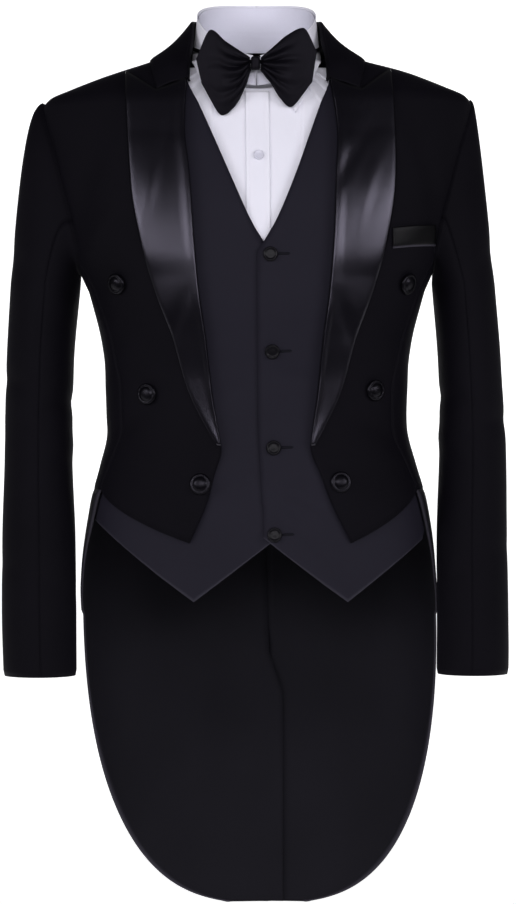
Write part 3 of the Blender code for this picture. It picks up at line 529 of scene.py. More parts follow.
def coat_body():
    """Fronts, side bodies and backs of the coat."""
    across = even(44)
    for side, word in SIDES:
        grid = []
        for inner, outer in resample(FRONT_ROWS, steps(110)):
            first = front_angle(edge_x(FRONT_EDGE, inner, side), inner)
            grid.append(strip(first, side * front_outer_angle(outer), inner, outer, COAT_OUT, across))
        cloth("coat_front_" + word, grid, COAT_WALL, WOOL, "wool", ("front",), (1.6, 1, 1, 1.4))
        turns = [mix(*ARMHOLE_FOOT_SPAN, u) for u in even(24)]
        grid = [[on_body(side * turn, ARMHOLE_FOOT(turn), COAT_OUT) for turn in turns]]
        for (height,) in resample([(row,) for row in SIDE_ROWS], steps(50)):
            grid.append(strip(side * FRONT_SIDE_SEAM(height), side * SIDE_BACK_SEAM(height), height,
                              height, COAT_OUT, even(24)))
        cloth("coat_side_" + word, grid, COAT_WALL, WOOL, "wool", ("front", "back"))
        grid = []
        for middle, outer in resample(BACK_ROWS, steps(90)):
            first = back_angle(back_line(middle), middle, side)
            grid.append(strip(first, side * back_outer_angle(outer), middle, outer, COAT_OUT, even(36)))
        cloth("coat_back_" + word, grid, COAT_WALL, WOOL, "wool", ("back",))


TAIL_EDGE = Curve(((-465, 71), (-505, 75), (-545, 82), (-600, 92)))
TAIL_ROUND_TOP = -600
TAIL_BOTTOM = -934
TAIL_HEM = -932
TAIL_HALF = 196
TAIL_FALL_POWER = 2.4
TAIL_REACH_POWER = 1 / 2.9
VENT_TOP = -650
VENT_UNDER = 30
VENT_OVER = -6
VENT_STEP = -3.4
VENT_OPENING = 45
VENT_DROP = 3
# Where the right tail steps inward: from and over which x, and how far above the vent
STEP_FROM = -60
STEP_WIDTH = 40
STEP_ABOVE = 35


def tail_edge_angle(height):
    """Front edge of a tail, which rounds in to the flat hem."""
    if height > TAIL_ROUND_TOP:
        return TAIL_EDGE(height)
    fall = (TAIL_ROUND_TOP - height) / (TAIL_ROUND_TOP - TAIL_BOTTOM)
    reach = TAIL_HALF * (1 - fall ** TAIL_FALL_POWER) ** TAIL_REACH_POWER / half_width(height)
    rounded = 180 - math.degrees(math.asin(min(reach, 0.9999) ** (SQUARENESS / 2)))
    return max(rounded, TAIL_EDGE(TAIL_ROUND_TOP))


def tail_point(angle, height, side):
    """Point of a tail; the right one steps inward where it passes under the left one."""
    out = COAT_OUT
    if side < 0:
        near = clamp((on_body(angle, height).x - STEP_FROM) / STEP_WIDTH)
        below = clamp((VENT_TOP + STEP_ABOVE - height) / STEP_ABOVE)
        out += VENT_STEP * ease(near) * ease(below) * (1.0 if abs(angle) > 120 else 0.0)
    return on_body(angle, height, out)


def coat_tails():
    """Tails from the waist seam to the rounded hem, open at the centre vent."""
    vent_start = VENT_TOP - VENT_DROP
    heights = [mix(WAIST, VENT_TOP, share) for share in even(36)]
    heights += [vent_start + (TAIL_HEM - vent_start) * math.sin(math.pi / 2 * share)
                for share in even(60)]
    for side, word in SIDES:
        grid = []
        for height in heights:
            open_share = clamp((VENT_TOP - height) / VENT_OPENING)
            line = mix(back_line(height), VENT_OVER if side > 0 else VENT_UNDER, open_share)
            centre = side * back_angle(line, height, side)
            edge = tail_edge_angle(height)
            grid.append([tail_point(side * mix(edge, centre, u), height, side)
                         for u in even(56)])
        # Painted light: lighter tail wool, and a painted highlight 5 mm wide along each tail's front edge
        cloth("tail_" + word, grid, COAT_WALL, LIT_TAIL_WOOL, "wool", ("back",), (1.2, 1, 1, 1.2),
              (5, 0, 0, 0), held="hung")


SLEEVE_RINGS = {
    1: ((-240, 227, 33.5, 4, 62), (-330, 234, 33.5, 2, 57), (-420, 237, 35.5, -4, 54),
        (-520, 235.5, 37.5, -14, 53), (-600, 235.8, 38, -24, 51), (-680, 235, 38, -33, 49)),
    -1: ((-240, 232.5, 37.5, 4, 62), (-330, 238.5, 36, 2, 57), (-420, 240, 36, -4, 54),
        (-520, 239, 39, -14, 53), (-600, 238.2, 39.6, -24, 51), (-680, 236.3, 38.6, -33, 49)),
}
SLEEVE_AXIS = 0.5
CUFF = {1: -666, -1: -668}
SLEEVE_TOP = -240
CAP_POWER = {1: 0.8, -1: 0.42}
CAP_END = 0.3
SLEEVE_START_OUT = 1.6
SLEEVE_CURVES = {side: [Curve(rings, column) for column in (1, 2, 3, 4)] for side, rings in
    SLEEVE_RINGS.items()}
ARMHOLE_LOOP = ((0, 90, -46), (25, 82, -62), (50, 73, -105), (75, 69, -145), (100, 67.5, -182),
    (130, 70, -210), (155, 82, -227), (180, 93, -231), (205, 103, -223), (230, 111, -203),
    (260, 113.5, -172), (285, 112, -140), (310, 107, -100), (335, 98, -62), (360, 90, -46))
armhole_angle = Curve(ARMHOLE_LOOP, 1)
armhole_height = Curve(ARMHOLE_LOOP, 2)
FRONT_ARM_SEAM = 95
BACK_ARM_SEAM = -78
# The sleeve head is sewn in a little under the edge of the armhole
TUCKED_OUT = -2.4
TUCKED_IN = 3.0
TUCKED_GAP = 0.6
NEAR_HEAD = 0.004


def armhole_point(turn, side, out):
    """Point of the armhole's line, moved out from the body."""
    around = turn % 360
    return on_body(side * armhole_angle(around), armhole_height(around), out)


def sleeve_ring(turn, height, side):
    """Point of a sleeve's level ring, turn in degrees from outside by way of the front."""
    around = math.radians(turn)
    centre, half, reach, depth = [curve(height) for curve in SLEEVE_CURVES[side]]
    x = centre + half * math.cos(around)
    y = reach - depth * math.sin(around)
    return Vector((SLEEVE_AXIS + side * x, y, height))


def sleeve_point(turn, share, side):
    """Point of a sleeve: the cap grows out of the armhole, then level rings to the cuff."""
    if share >= CAP_END:
        height = mix(SLEEVE_TOP, CUFF[side], (share - CAP_END) / (1 - CAP_END))
        return sleeve_ring(turn, height, side)
    top = armhole_point(turn, side, SLEEVE_START_OUT)
    down = share / CAP_END
    low = sleeve_ring(turn, SLEEVE_TOP, side)
    out = down ** CAP_POWER[side]
    return Vector((mix(top.x, low.x, out), mix(top.y, low.y, out), mix(top.z, low.z, down)))


def sleeves():
    """Two-piece sleeves with a soft break at the elbow."""
    cap = [CAP_END * share ** 1.8 for share in even(40)]
    downs = cap + [mix(CAP_END, 1, share) for share in even(70)[1:]]
    for side, word in SIDES:
        pieces = (("top", BACK_ARM_SEAM, FRONT_ARM_SEAM), ("under", FRONT_ARM_SEAM, 360 + BACK_ARM_SEAM))
        for piece, start, end in pieces:
            turns = [mix(start, end, u) for u in even(40)]
            grid = [[sleeve_point(turn, down, side) for turn in turns] for down in downs]
            head = [armhole_point(turn, side, TUCKED_OUT) for turn in turns]
            ways = [(sleeve_point(turn, NEAR_HEAD, side) - armhole_point(turn, side, SLEEVE_START_OUT))
                    .normalized() for turn in turns]
            grid[0] = [point + way * TUCKED_GAP for point, way in zip(head, ways)]
            grid.insert(0, [point - way * TUCKED_IN for point, way in zip(head, ways)])
            cloth("sleeve_%s_%s" % (piece, word), grid, COAT_WALL, WOOL, "wool", ("arm_" + word,),
                  (0.5, 0.5, 1, 1.6))


LAPEL_EDGE = Curve(((-16, 143), (-80, 144), (-137, 142), (-202, 131), (-256, 115), (-299, 99), (-360, 81),
    (-392, 66), (-418, 52)))
# The lapel's upper edge: at the neck, at the notch and at the peak
LAPEL_TOPS = (-24, -36, -16)
LAPEL_END = -418
LAPEL_WALL = 1.8
LAPEL_SHOULDER_LIFT = 2.2
LIFT_FROM = -80
LIFT_RANGE = 40
ROLL_RISE = 2.6
ROLL_WIDTH = 0.14


def lapels():
    """Satin peak lapels, rolled at the front edge and pressed flat at the outer edge."""
    for side, word in SIDES:
        grid = []
        for down in even(100):
            row = []
            for u in even(36):
                top = float(np.interp(u, (0, 0.5, 1), LAPEL_TOPS))
                height = mix(top, LAPEL_END, down)
                x = front_line(height) + side * mix(FRONT_EDGE(height), LAPEL_EDGE(height), u)
                roll = ROLL_RISE * bell(u, ROLL_WIDTH) * clamp((height - LAPEL_END) / 60)
                lift = LAPEL_SHOULDER_LIFT * clamp((height - LIFT_FROM) / LIFT_RANGE)
                row.append(front_point(x, height, LAPEL_OUT + lift + roll))
            grid.append(row)
        cloth("lapel_" + word, grid, LAPEL_WALL, SATIN, "satin", ("lapel",), (0.5, 1.2, 0.5, 0),
              held="folded")


WELT_OUT = 2.0
WELT_WALL = 1.4
WELT_SPAN = (146, 193)
WELT_HEIGHTS = (-186, -208)
WELT_SLOPE = 4


def breast_welt():
    """Welt of the breast pocket, on the wearer's left."""
    grid = [[welt_point(u, down) for u in even(30)] for down in even(16)]
    # Painted highlight: a light line 2.2 mm wide along the welt's lower edge
    cloth("breast_welt", grid, WELT_WALL, WELT_SATIN, "wool", (), (1, 1, 0.6, 1), (0, 0, 0, 2.2),
          held="folded")


def welt_point(u, down):
    """Point of the breast welt, which rises a little towards the arm."""
    top, foot = [height + WELT_SLOPE * u for height in WELT_HEIGHTS]
    return front_point(mix(*WELT_SPAN, u), mix(top, foot, down), WELT_OUT)


# From the gorge to the centre back: x, y and z of the fold, of the outer edge and of the neck seam
COLLAR_STATIONS = ((77, -77, -20, 109, -80, -34, 74, -71, -24), (76, -62, 2, 113, -66, -17, 78, -50, -2),
    (72.5, -36, 25, 116, -42, -2, 82.5, -28, 11), (71, 2, 48, 113, 4, 7, 90.5, 2, 16),
    (62.5, 40, 52, 96, 58, 16, 77, 48, 22), (38, 63, 57, 58, 80, 15, 42, 66, 26),
    (0, 70, 58, 0, 87, 14, 0, 68, 26))
COLLAR_CURVES = curves_along(COLLAR_STATIONS)
COLLAR_BULGE = Curve(list(zip(shares(6), (2, 4, 3, -2, 0, 2, 3))))
COLLAR_CLEAR = 3.4
COLLAR_WALL = 2.0
COLLAR_LEAN = 2.0
COLLAR_DROP = 4.0


def clear_of_front(point):
    """Point moved forward where it would lie on or in the coat's front."""
    if point.y > -8 or point.z > 14:
        return point
    surface = front_point(point.x, point.z, COLLAR_CLEAR)
    return Vector((point.x, min(point.y, surface.y), point.z))


def collar_section(place):
    """Section of the coat collar at a place from 0 at the gorge to 1 at the centre back."""
    columns = [curve(place) for curve in COLLAR_CURVES]
    bulge = COLLAR_BULGE(place)
    fold, edge, seam = Vector(columns[0:3]), Vector(columns[3:6]), Vector(columns[6:9])
    outward = Vector((edge.x - fold.x, edge.y - fold.y, 0)).normalized()
    slope = (edge - fold).normalized()
    lift = Vector((outward.x * -slope.z, outward.y * -slope.z, slope.to_2d().length))
    inner = fold - outward * COLLAR_LEAN - Vector((0, 0, COLLAR_DROP))
    outer = fold + outward * COLLAR_LEAN - Vector((0, 0, COLLAR_DROP * 0.6))
    fall = [outer, mix(outer, edge, 0.35) + lift * bulge, mix(outer, edge, 0.7) + lift * bulge,
            edge + lift * 1.5]
    section = [seam, mix(seam, inner, 0.5), inner, fold] + [clear_of_front(p) for p in fall]
    return [Vector(point) for point in resample([tuple(p) for p in section], steps(28))]


def coat_collar():
    """Collar from one gorge round the neck to the other, folded over its stand."""
    half = [collar_section(place) for place in even(60)]
    mirrored = [[Vector((-p.x, p.y, p.z)) for p in section] for section in half]
    shift = Vector((front_line(-20), 0, 0))
    grid = [[p + shift * max(0, -p.y / 80) for p in section] for section in mirrored[:-1] + half[::-1]]
    grid = [[p + Vector((0, 0, shoulder_rise(p.x, p.z))) for p in section] for section in grid]
    cloth("coat_collar", grid, COLLAR_WALL, WOOL, "wool", (), (0, 1.2, 0, 0), held="folded")


WAISTCOAT_V = ((14, 86), (0, 83), (-21, 77.5), (-45, 67), (-75, 55), (-125, 35.5), (-175, 14), (-199, 0))
LAP_EDGE = {1: ((-212, -7.5), (-530, -7.5)), -1: ((-225, -20), (-530, -20))}
WAISTCOAT_ARM = Curve(((-9, 90), (-32, 76), (-70, 67), (-120, 63), (-170, 65), (-215, 75), (-248, 90)))
WAISTCOAT_HEM = ((-20, -506), (0, -522), (81, -585), (194, -500))
WAISTCOAT_POINT = 81
WAISTCOAT_ARM_FOOT = -248
NECK_ARM = (13, -9)
# Share of a front's width that its point lies at
POINT_SHARE = 0.4
WAISTCOAT_ROWS = ((0, -14), (-21, -36), (-45, -62), (-75, -95), (-125, -135), (-170, -175), (-199, -212),
    (-226, -248), (-262, -275), (-306, -310), (-350, -350), (-395, -395), (-440, -440), (-480, -470))
WAISTCOAT_SIDE_FOOT = -492
UNDERLAP = -3.0
LAP_ANGLE = 12
LAP_TOP = -150
LAP_EASE = 30


def waistcoat_place(u, inner, outer, side, neckline):
    """Angle and height on a waistcoat front, across from its front edge to its side."""
    height = mix(inner, outer, u)
    first = side * front_angle(edge_x(neckline, inner, side), inner)
    middle = side * front_angle(front_line(height) + side * WAISTCOAT_POINT, height)
    last = WAISTCOAT_ARM(outer) if outer > WAISTCOAT_ARM_FOOT else 90.0
    middle = max(middle, mix(first, last, POINT_SHARE)) if inner > -230 else middle
    if u < POINT_SHARE:
        return mix(first, middle, u / POINT_SHARE), height
    return mix(middle, last, (u - POINT_SHARE) / (1 - POINT_SHARE)), height


def waistcoat_out(angle, height, side):
    """Layer of a waistcoat front, a little deeper where the right one lies under the lap."""
    if side > 0:
        return WAISTCOAT_OUT
    near = clamp(1 - angle / LAP_ANGLE) * ease((LAP_TOP - height) / LAP_EASE)
    return WAISTCOAT_OUT + UNDERLAP * near


def waistcoat_fronts():
    """Fronts with a V neck and pointed hem, the left one lying over the right one."""
    columns = even(60)
    for side, word in SIDES:
        neckline = Curve(WAISTCOAT_V + LAP_EDGE[side])
        grid = [strip(side * 90, side * 90, *NECK_ARM, WAISTCOAT_OUT, columns)]
        for inner, outer in resample(WAISTCOAT_ROWS, steps(104)):
            places = [waistcoat_place(u, inner, outer, side, neckline) for u in columns]
            grid.append([on_body(side * angle, height, waistcoat_out(angle, height, side))
                         for angle, height in places])
        first, second = grid[0], grid[1]
        grid[1:1] = [[mix(a, b, share) for a, b in zip(first, second)] for share in (0.25, 0.5, 0.75)]
        for share in even(24)[1:]:
            row = []
            for u in columns:
                angle, height = waistcoat_place(u, -520, -500, side, neckline)
                distance = side * (on_body(side * angle, height).x - front_line(height))
                foot = float(np.interp(distance, *zip(*WAISTCOAT_HEM)))
                foot = mix(foot, WAISTCOAT_SIDE_FOOT, clamp((angle - 72) / 18))
                height = mix(mix(-480, -470, u), foot, share)
                row.append(on_body(side * angle, height, waistcoat_out(angle, height, side)))
            grid.append(row)
        # Painted highlight: a light line 1.8 mm wide along each front's hem
        cloth("waistcoat_front_" + word, grid, WAISTCOAT_WALL, CHARCOAL, "waistcoat_cloth", ("front",),
              (1, 0, 0.6, 1), (0, 0, 0, 1.8))


def waistcoat_backs():
    """Back of the waistcoat, in two halves that meet at its centre seam."""
    rows = ((-9, 90), (-32, 102), (-70, 108), (-120, 112), (-170, 110), (-215, 102), (-248, 90),
            (-310, 90), (-350, 90), (-395, 90), (-440, 90), (-470, 90), (WAISTCOAT_SIDE_FOOT, 90))
    columns = even(40)
    for side, word in SIDES:
        neck = [on_body(side * mix(90, 180, u), mix(13, 20, math.sin(math.pi / 2 * u)), WAISTCOAT_OUT)
                for u in columns]
        grid = [strip(side * start, side * 180, height, height, WAISTCOAT_OUT, columns)
                for height, start in resample(rows, steps(96))]
        between = [[mix(a, b, share) for a, b in zip(neck, grid[0])] for share in (0, 0.25, 0.5, 0.75)]
        cloth("waistcoat_back_" + word, between + grid, WAISTCOAT_WALL, CHARCOAL, "waistcoat_cloth",
              ("back",))


BIB_ROWS = ((-26, 12), (-34, -2), (-48, -22), (-70, -48), (-105, -90), (-145, -140), (-190, -190),
    (-245, -245), (-300, -300))
BIB_SIDE = Curve(((12, 90), (0, 66), (-22, 48), (-48, 39), (-90, 34), (-300, 34)))
BIB_FOOT_ANGLE = 34
BIB_FLAT = 0.8
TUCK_HEIGHT = 1.3
TUCK_ANGLES = (9, 14, 19, 24)
TUCK_REACH = 3.4
TUCK_EDGE = 0.6
PLACKET_OUT = 1.7
PLACKET_HEIGHTS = (-29.6, -298)
PLACKET_HALF = 13
PLACKET_WALL = 0.9
STITCH_AT = 9.6
STITCH_WIDTH = 0.5
STITCH_DEPTH = 0.45


def tuck_lift(angle):
    """Height of the cloth over a tuck: a steep fold towards the middle, sloping outwards."""
    lift = 0.0
    for tuck in TUCK_ANGLES:
        past = abs(angle) - tuck
        if -TUCK_EDGE < past <= 0:
            lift = max(lift, 1 + past / TUCK_EDGE)
        if 0 < past < TUCK_REACH:
            lift = max(lift, 1 - past / TUCK_REACH)
    return lift * TUCK_HEIGHT


def shirt_front():
    """Shirt front under the waistcoat, tucked on both sides of the placket."""
    grid = []
    for middle, outer in resample(BIB_ROWS, steps(90)):
        row = []
        for mark in [2 * share - 1 for share in shares(220 if FINE == 1 else 110)]:
            height = mix(middle, outer, abs(mark) ** 1.5)
            flat = BIB_FLAT * BIB_FOOT_ANGLE
            reach = np.interp(abs(mark), (0, BIB_FLAT, 1), (0, flat, BIB_SIDE(outer)))
            angle = math.copysign(float(reach), mark)
            row.append(on_body(angle, height, SHIRT_OUT + tuck_lift(angle)))
        grid.append(row)
    cloth("shirt_front", grid, SHIRT_WALL, POPLIN, "shirt_cotton")


def shirt_placket():
    """Strip that carries the shirt's buttons, stitched along both edges."""
    grid = []
    for share in even(90):
        height = mix(*PLACKET_HEIGHTS, share)
        row = []
        for u in even(26):
            x = mix(-PLACKET_HALF, PLACKET_HALF, u)
            out = SHIRT_OUT + PLACKET_OUT - STITCH_DEPTH * bell(abs(x) - STITCH_AT, STITCH_WIDTH)
            row.append(front_point(front_line(height) * 0.25 + x, height, out))
        grid.append(row)
    cloth("shirt_placket", grid, PLACKET_WALL, POPLIN, "shirt_cotton", (), (0.3, 0.3, 0, 0), held="folded")


COLLAR_HALF = 64
COLLAR_FRONT_BACK = 66
COLLAR_CENTRE = -6
COLLAR_FRONT_HEIGHT = 4
COLLAR_RISE = 70
COLLAR_RISE_POWERS = (0.8, 1.5)
LEAF_START = 3
LEAF_POINT_TURN = 35
LEAF_FALL = 41
LEAF_FALL_SIDE = 8
LEAF_POINT_FALL = 35
LEAF_POINT_WIDTH = 0.35
LEAF_SPREAD = (0.9, 7.5)
LEAF_FRONT_DRAW = 3
LEAF_BACK_DRAW = 2.4
LEAF_CURVE = 1.4
LEAF_CLEAR = 1.6
LEAF_CLEAR_TOP = 0
# The stand: depth at the front and back, how much deeper at the sides, and the seam of its band
STAND_DEPTHS = (30.2, 51)
STAND_SIDE = 15
STAND_SEAM = 31
STAND_SEAM_WIDTH = 1.6
# Front half of the stand: height of the shirt front that its foot is drawn to
FOOT_HEIGHT = -30


def collar_fold(angle, out=0.0):
    """Point of the shirt collar's fold, moved out level."""
    turn = math.radians(angle)
    to_back = min((1 - math.cos(turn)) / 2, 1.0)
    x = (COLLAR_HALF + out) * math.sin(turn)
    y = COLLAR_CENTRE - (COLLAR_FRONT_BACK + out) * math.cos(turn)
    start, end = COLLAR_RISE_POWERS
    height = COLLAR_FRONT_HEIGHT + COLLAR_RISE * (1 - (1 - to_back ** start) ** end)
    return Vector((x, y, height))


def leaf_point(across, down):
    """Point of the turned-down collar: across from the front to the back, down from the fold."""
    side = math.copysign(1, across)
    across = abs(across)
    top = mix(LEAF_START, 180, across)
    foot = top + LEAF_POINT_TURN * (1 - across) ** 3
    near_front = max(0.0, 1 - across / LEAF_POINT_WIDTH) ** 1.5
    angle = mix(top, foot, down)
    fall = LEAF_FALL + LEAF_FALL_SIDE * math.sin(math.radians(angle)) ** 2 + LEAF_POINT_FALL * near_front
    draw = LEAF_FRONT_DRAW * near_front + LEAF_BACK_DRAW * across ** 2
    spread = mix(LEAF_SPREAD[0], LEAF_SPREAD[1] - draw, down ** LEAF_CURVE)
    point = collar_fold(side * angle, spread) - Vector((0, 0, 0.4 + fall * down))
    if point.y < COLLAR_CENTRE and point.z < LEAF_CLEAR_TOP:
        surface = front_point(point.x, point.z, SHIRT_OUT + LEAF_CLEAR)
        point.y = min(point.y, surface.y)
    return point


def shirt_collar():
    """Stand round the neck, and the leaf turned down over it with its two points."""
    stand = []
    for down in even(26):
        row = []
        for u in even(120):
            angle = mix(-179.5, 179.5, u) + 180
            turn = math.radians(angle)
            depth = mix(*STAND_DEPTHS, (1 - math.cos(turn)) / 2) + STAND_SIDE * math.sin(turn) ** 2
            seam = 0.8 * bell(down * depth - STAND_SEAM, STAND_SEAM_WIDTH)
            point = collar_fold(angle, -1.0 + seam) - Vector((0, 0, 2.5 + depth * down))
            if point.y < COLLAR_CENTRE:
                surface = front_point(point.x, FOOT_HEIGHT, SHIRT_OUT + 1.2)
                near_foot = clamp((down - 0.55) / 0.45) * clamp(1 - abs(point.x) / 40)
                point.y = mix(point.y, surface.y, near_foot)
            row.append(point)
        stand.append(row)
    # Painted shade: the stand takes the darker copy of the poplin
    cloth("shirt_collar_stand", stand, SHIRT_WALL, SHADED_POPLIN, "shirt_cotton", (), (0, 0, 0, 0),
          held="folded")
    for side, word in SIDES:
        grid = [[leaf_point(side * mix(0.001, 1, u), down) for u in even(80)] for down in even(30)]
        cloth("shirt_collar_leaf_" + word, grid, SHIRT_WALL, POPLIN, "shirt_cotton", (), (0.6, 0, 0, 0.8),
              held="folded")


def shirt_yoke():
    """Short back yoke that joins the shirt front's shoulders behind the neck."""
    rows = ((12, 90), (2, 114), (-12, 140), (-30, 154))
    grid = [strip(start, 360 - start, height, height, SHIRT_OUT, even(60))
            for height, start in resample(rows, steps(24))]
    cloth("shirt_yoke", grid, SHIRT_WALL, POPLIN, "shirt_cotton")


def turned(name, profile, centre, direction, fabric, rounds=40, ripple=None):
    """Part turned round its own axis from a profile of radius and height."""
    turn = direction.to_track_quat("Z", "Y").to_matrix()
    rounds = max(16, int(rounds * (0.6 if FINE < 1 else 1)))
    points = []
    for radius, height in profile:
        for i in range(rounds):
            around = 2 * math.pi * i / rounds
            lift = ripple(radius, around) if ripple else 0.0
            points.append((radius * math.cos(around), radius * math.sin(around), height + lift))
    faces = ring_faces(len(profile), rounds)
    first, last = len(points), len(points) + 1
    points += [(0, 0, profile[0][1]), (0, 0, profile[-1][1])]
    faces += [(i, (i + 1) % rounds, first) for i in range(rounds)]
    base = (len(profile) - 1) * rounds
    faces += [(base + (i + 1) % rounds, base + i, last) for i in range(rounds)]
    return mesh_object(name, [centre + turn @ Vector(point) for point in points], faces, fabric)


COAT_BUTTONS = (("right_1", -149, -244, 1.5), ("right_2", -117, -362, 0.7), ("right_3", -60, -459, 0.5),
    ("left_1", 162, -244, 1.7), ("left_2", 127, -358, 0.8), ("left_3", 90, -457, 0.5))
# Covered button from its underside to its crown: radius, height
COVERED_PROFILE = ((0.9, 0.0), (9.9, 0.0), (10.9, 0.5), (11.5, 1.5), (11.5, 2.3), (10.9, 3.2),
    (10.1, 3.7), (9.2, 3.75), (8.5, 3.5), (7.9, 3.6), (7.1, 4.3), (6.0, 5.0), (4.5, 5.5), (2.8, 5.8),
    (1.0, 5.95))
WAISTCOAT_PROFILE = ((0.8, 0.0), (7.0, 0.0), (7.7, 0.5), (8.0, 1.3), (8.0, 2.1), (7.7, 2.9), (7.1, 3.4),
    (6.4, 3.5), (5.8, 3.1), (5.2, 2.7), (3.9, 2.6), (2.2, 2.75), (0.8, 2.8))
PEARL_PROFILE = ((0.6, 0.0), (4.6, 0.0), (5.2, 0.3), (5.5, 0.9), (5.4, 1.5), (5.0, 1.95), (4.4, 2.05),
    (3.8, 1.8), (3.2, 1.55), (1.8, 1.45), (0.6, 1.45))


def button(name, node, profile, x, height, out, fabric, slot, rounds=40, ripple=None):
    """Button on the cloth in front, its underside a little out from the body's surface."""
    angle = front_angle(x, height)
    item = turned(name, profile, on_body(angle, height, out), body_normal(angle, height), fabric,
                  rounds, ripple)
    settle(item, node)


def cloth_pucker(radius, around):
    """Slight gathers of the cloth drawn over a button's rim."""
    return 0.10 * math.sin(around * 12) * bell(radius - 9.4, 1.2)


def coat_buttons():
    """Six satin-covered buttons on the fronts."""
    for word, x, height, clear in COAT_BUTTONS:
        button("covered_button_" + word, "coat_button_" + word, COVERED_PROFILE, x, height, clear,
               BUTTON_SATIN, "satin", 48, cloth_pucker)


SHIRT_BUTTON = (2.5, -103)
# Columns and rows of a worked buttonhole
PAD_MESH = (18, 7)
WAISTCOAT_BUTTONS = ((15, -213), (17, -318), (18.5, -420), (19.5, -513))


def front_pad(name, x, height, half, tall, thick, out, fabric, tilt):
    """Small raised bar of thread lying on the cloth in front, across from its middle."""
    turn = math.radians(tilt)
    points = []
    columns, rows = PAD_MESH
    for r in range(rows + 1):
        for c in range(columns + 1):
            u, v = 2 * c / columns - 1, 2 * r / rows - 1
            span = math.sqrt(max(0.0, 1 - u ** 6))
            dx = u * half * math.cos(turn) - v * tall * span * math.sin(turn)
            dz = u * half * math.sin(turn) + v * tall * span * math.cos(turn)
            lift = thick * math.sqrt(max(0.0, 1 - abs(v) ** 3)) * span
            groove = 0.5 * thick * bell(v, 0.22) * (1 if abs(u) < 0.85 else 0)
            points.append(front_point(x + dx, height + dz, out + lift - groove))
    return mesh_object(name, points, grid_faces(rows + 1, columns + 1), fabric)


def waistcoat_closure():
    """Four buttons down the lap, each with its worked buttonhole beside it."""
    face = WAISTCOAT_OUT + WAISTCOAT_WALL / 2
    for number, (x, height) in enumerate(WAISTCOAT_BUTTONS, 1):
        button("rimmed_button_%d" % number, "waistcoat_button_%d" % number, WAISTCOAT_PROFILE, x,
               height, face + 0.5, RIM_SATIN, "satin")
        hole = front_pad("buttonhole_%d" % number, x + 14.5, height + 0.4, 7.0, 1.3, 0.8, face + 0.05,
                         THREAD, 2.0)
        thicken(hole, 0.3)
        settle(hole, None)


def shirt_button():
    """Button on the placket."""
    button("placket_button", "shirt_button", PEARL_PROFILE, *SHIRT_BUTTON, SHIRT_OUT + 2.6, PEARL,
           "shirt_cotton", 36)


KNOT = Vector((-1.0, -85.4, -6.0))
KNOT_SIZE = (10.5, 13.0, 15.0)
KNOT_MESH = (36, 44)
KNOT_FULLNESS = 0.92
WINGS = {
    "right": ((-6.2, 6.5, -6.2, -6.5), (-18, 14, -14, -32), (-33, 24, -24, -48), (-48, 36, -36, -56),
        (-64, 5, -58, -22)),
    "left": ((6.2, 6.5, 6.2, -6.5), (20, 18, 18, -24), (34, 30, 27, -38), (51, 38, 38, -47),
        (66, 13, 61, -20)),
}
WING_WALL = 2.6
BAND_OUT = 6.1
BAND_SIDE_OUT = 3.1
BAND_BACK_IN = 1.4
BAND_DROPS = (8, 22)
BAND_SIDE = 17
BAND_HALF = 2
BAND_WALL = 1.0
WING_CURVES = {word: curves_along(rows) for word, rows in WINGS.items()}
# Folds of the bow from the knot: place across, how far they reach, depth
BOW_FOLDS = ((0.18, 0.70, 2.9), (0.38, 0.92, 3.4), (0.58, 0.66, 3.6), (0.74, 0.98, 3.0), (0.90, 0.55, 2.2))


def wing_point(word, along, across):
    """Point of a bow wing, along from the knot outwards and across from top to bottom."""
    top_x, top_z, foot_x, foot_z = [curve(along) for curve in WING_CURVES[word]]
    swell = 5.0 * math.sin(math.pi * min(along * 1.15, 1.0)) * math.sin(math.pi * across)
    folds = 0.0
    for place, reach, depth in BOW_FOLDS:
        fade = clamp(1 - along / reach) ** 0.8 * clamp(along * 6 + 0.3)
        folds -= depth * fade * bell(across - place, 0.055)
        folds += depth * 0.5 * fade * bell(across - place - 0.10, 0.05)
    hem = -0.5 * bell((1 - along) * 50 / 1.6 - 1.6, 1)
    return Vector((KNOT.x + mix(top_x, foot_x, across), KNOT.y + 1.0 - swell - folds - hem,
                   KNOT.z + mix(top_z, foot_z, across)))


def bow_tie():
    """Ready-tied bow: two wings, a knot round their pleats, and a band round the collar."""
    for word in WINGS:
        grid = [[wing_point(word, along, across) for along in even(60)]
                for across in even(80)]
        cloth("bow_wing_" + word, grid, WING_WALL, GROSGRAIN, "bow_satin", (), (0.6, 0, 0.6, 0.6),
              held="folded")
    bow_knot()
    grid = []
    for down in even(6):
        row = []
        for u in even(120):
            angle = mix(1.5, 358.5, u)
            turn = math.radians(angle)
            to_back = (1 - math.cos(turn)) / 2
            aside = math.sin(turn) ** 2
            point = collar_fold(angle, BAND_OUT + BAND_SIDE_OUT * aside - BAND_BACK_IN * to_back)
            lower = mix(*BAND_DROPS, to_back) + BAND_SIDE * aside
            row.append(Vector((point.x, point.y, point.z - lower + mix(BAND_HALF, -BAND_HALF, down))))
        grid.append(row)
    cloth("bow_neckband", grid, BAND_WALL, GROSGRAIN, "bow_satin", (), (0, 0, 0.3, 0.3), held="folded")


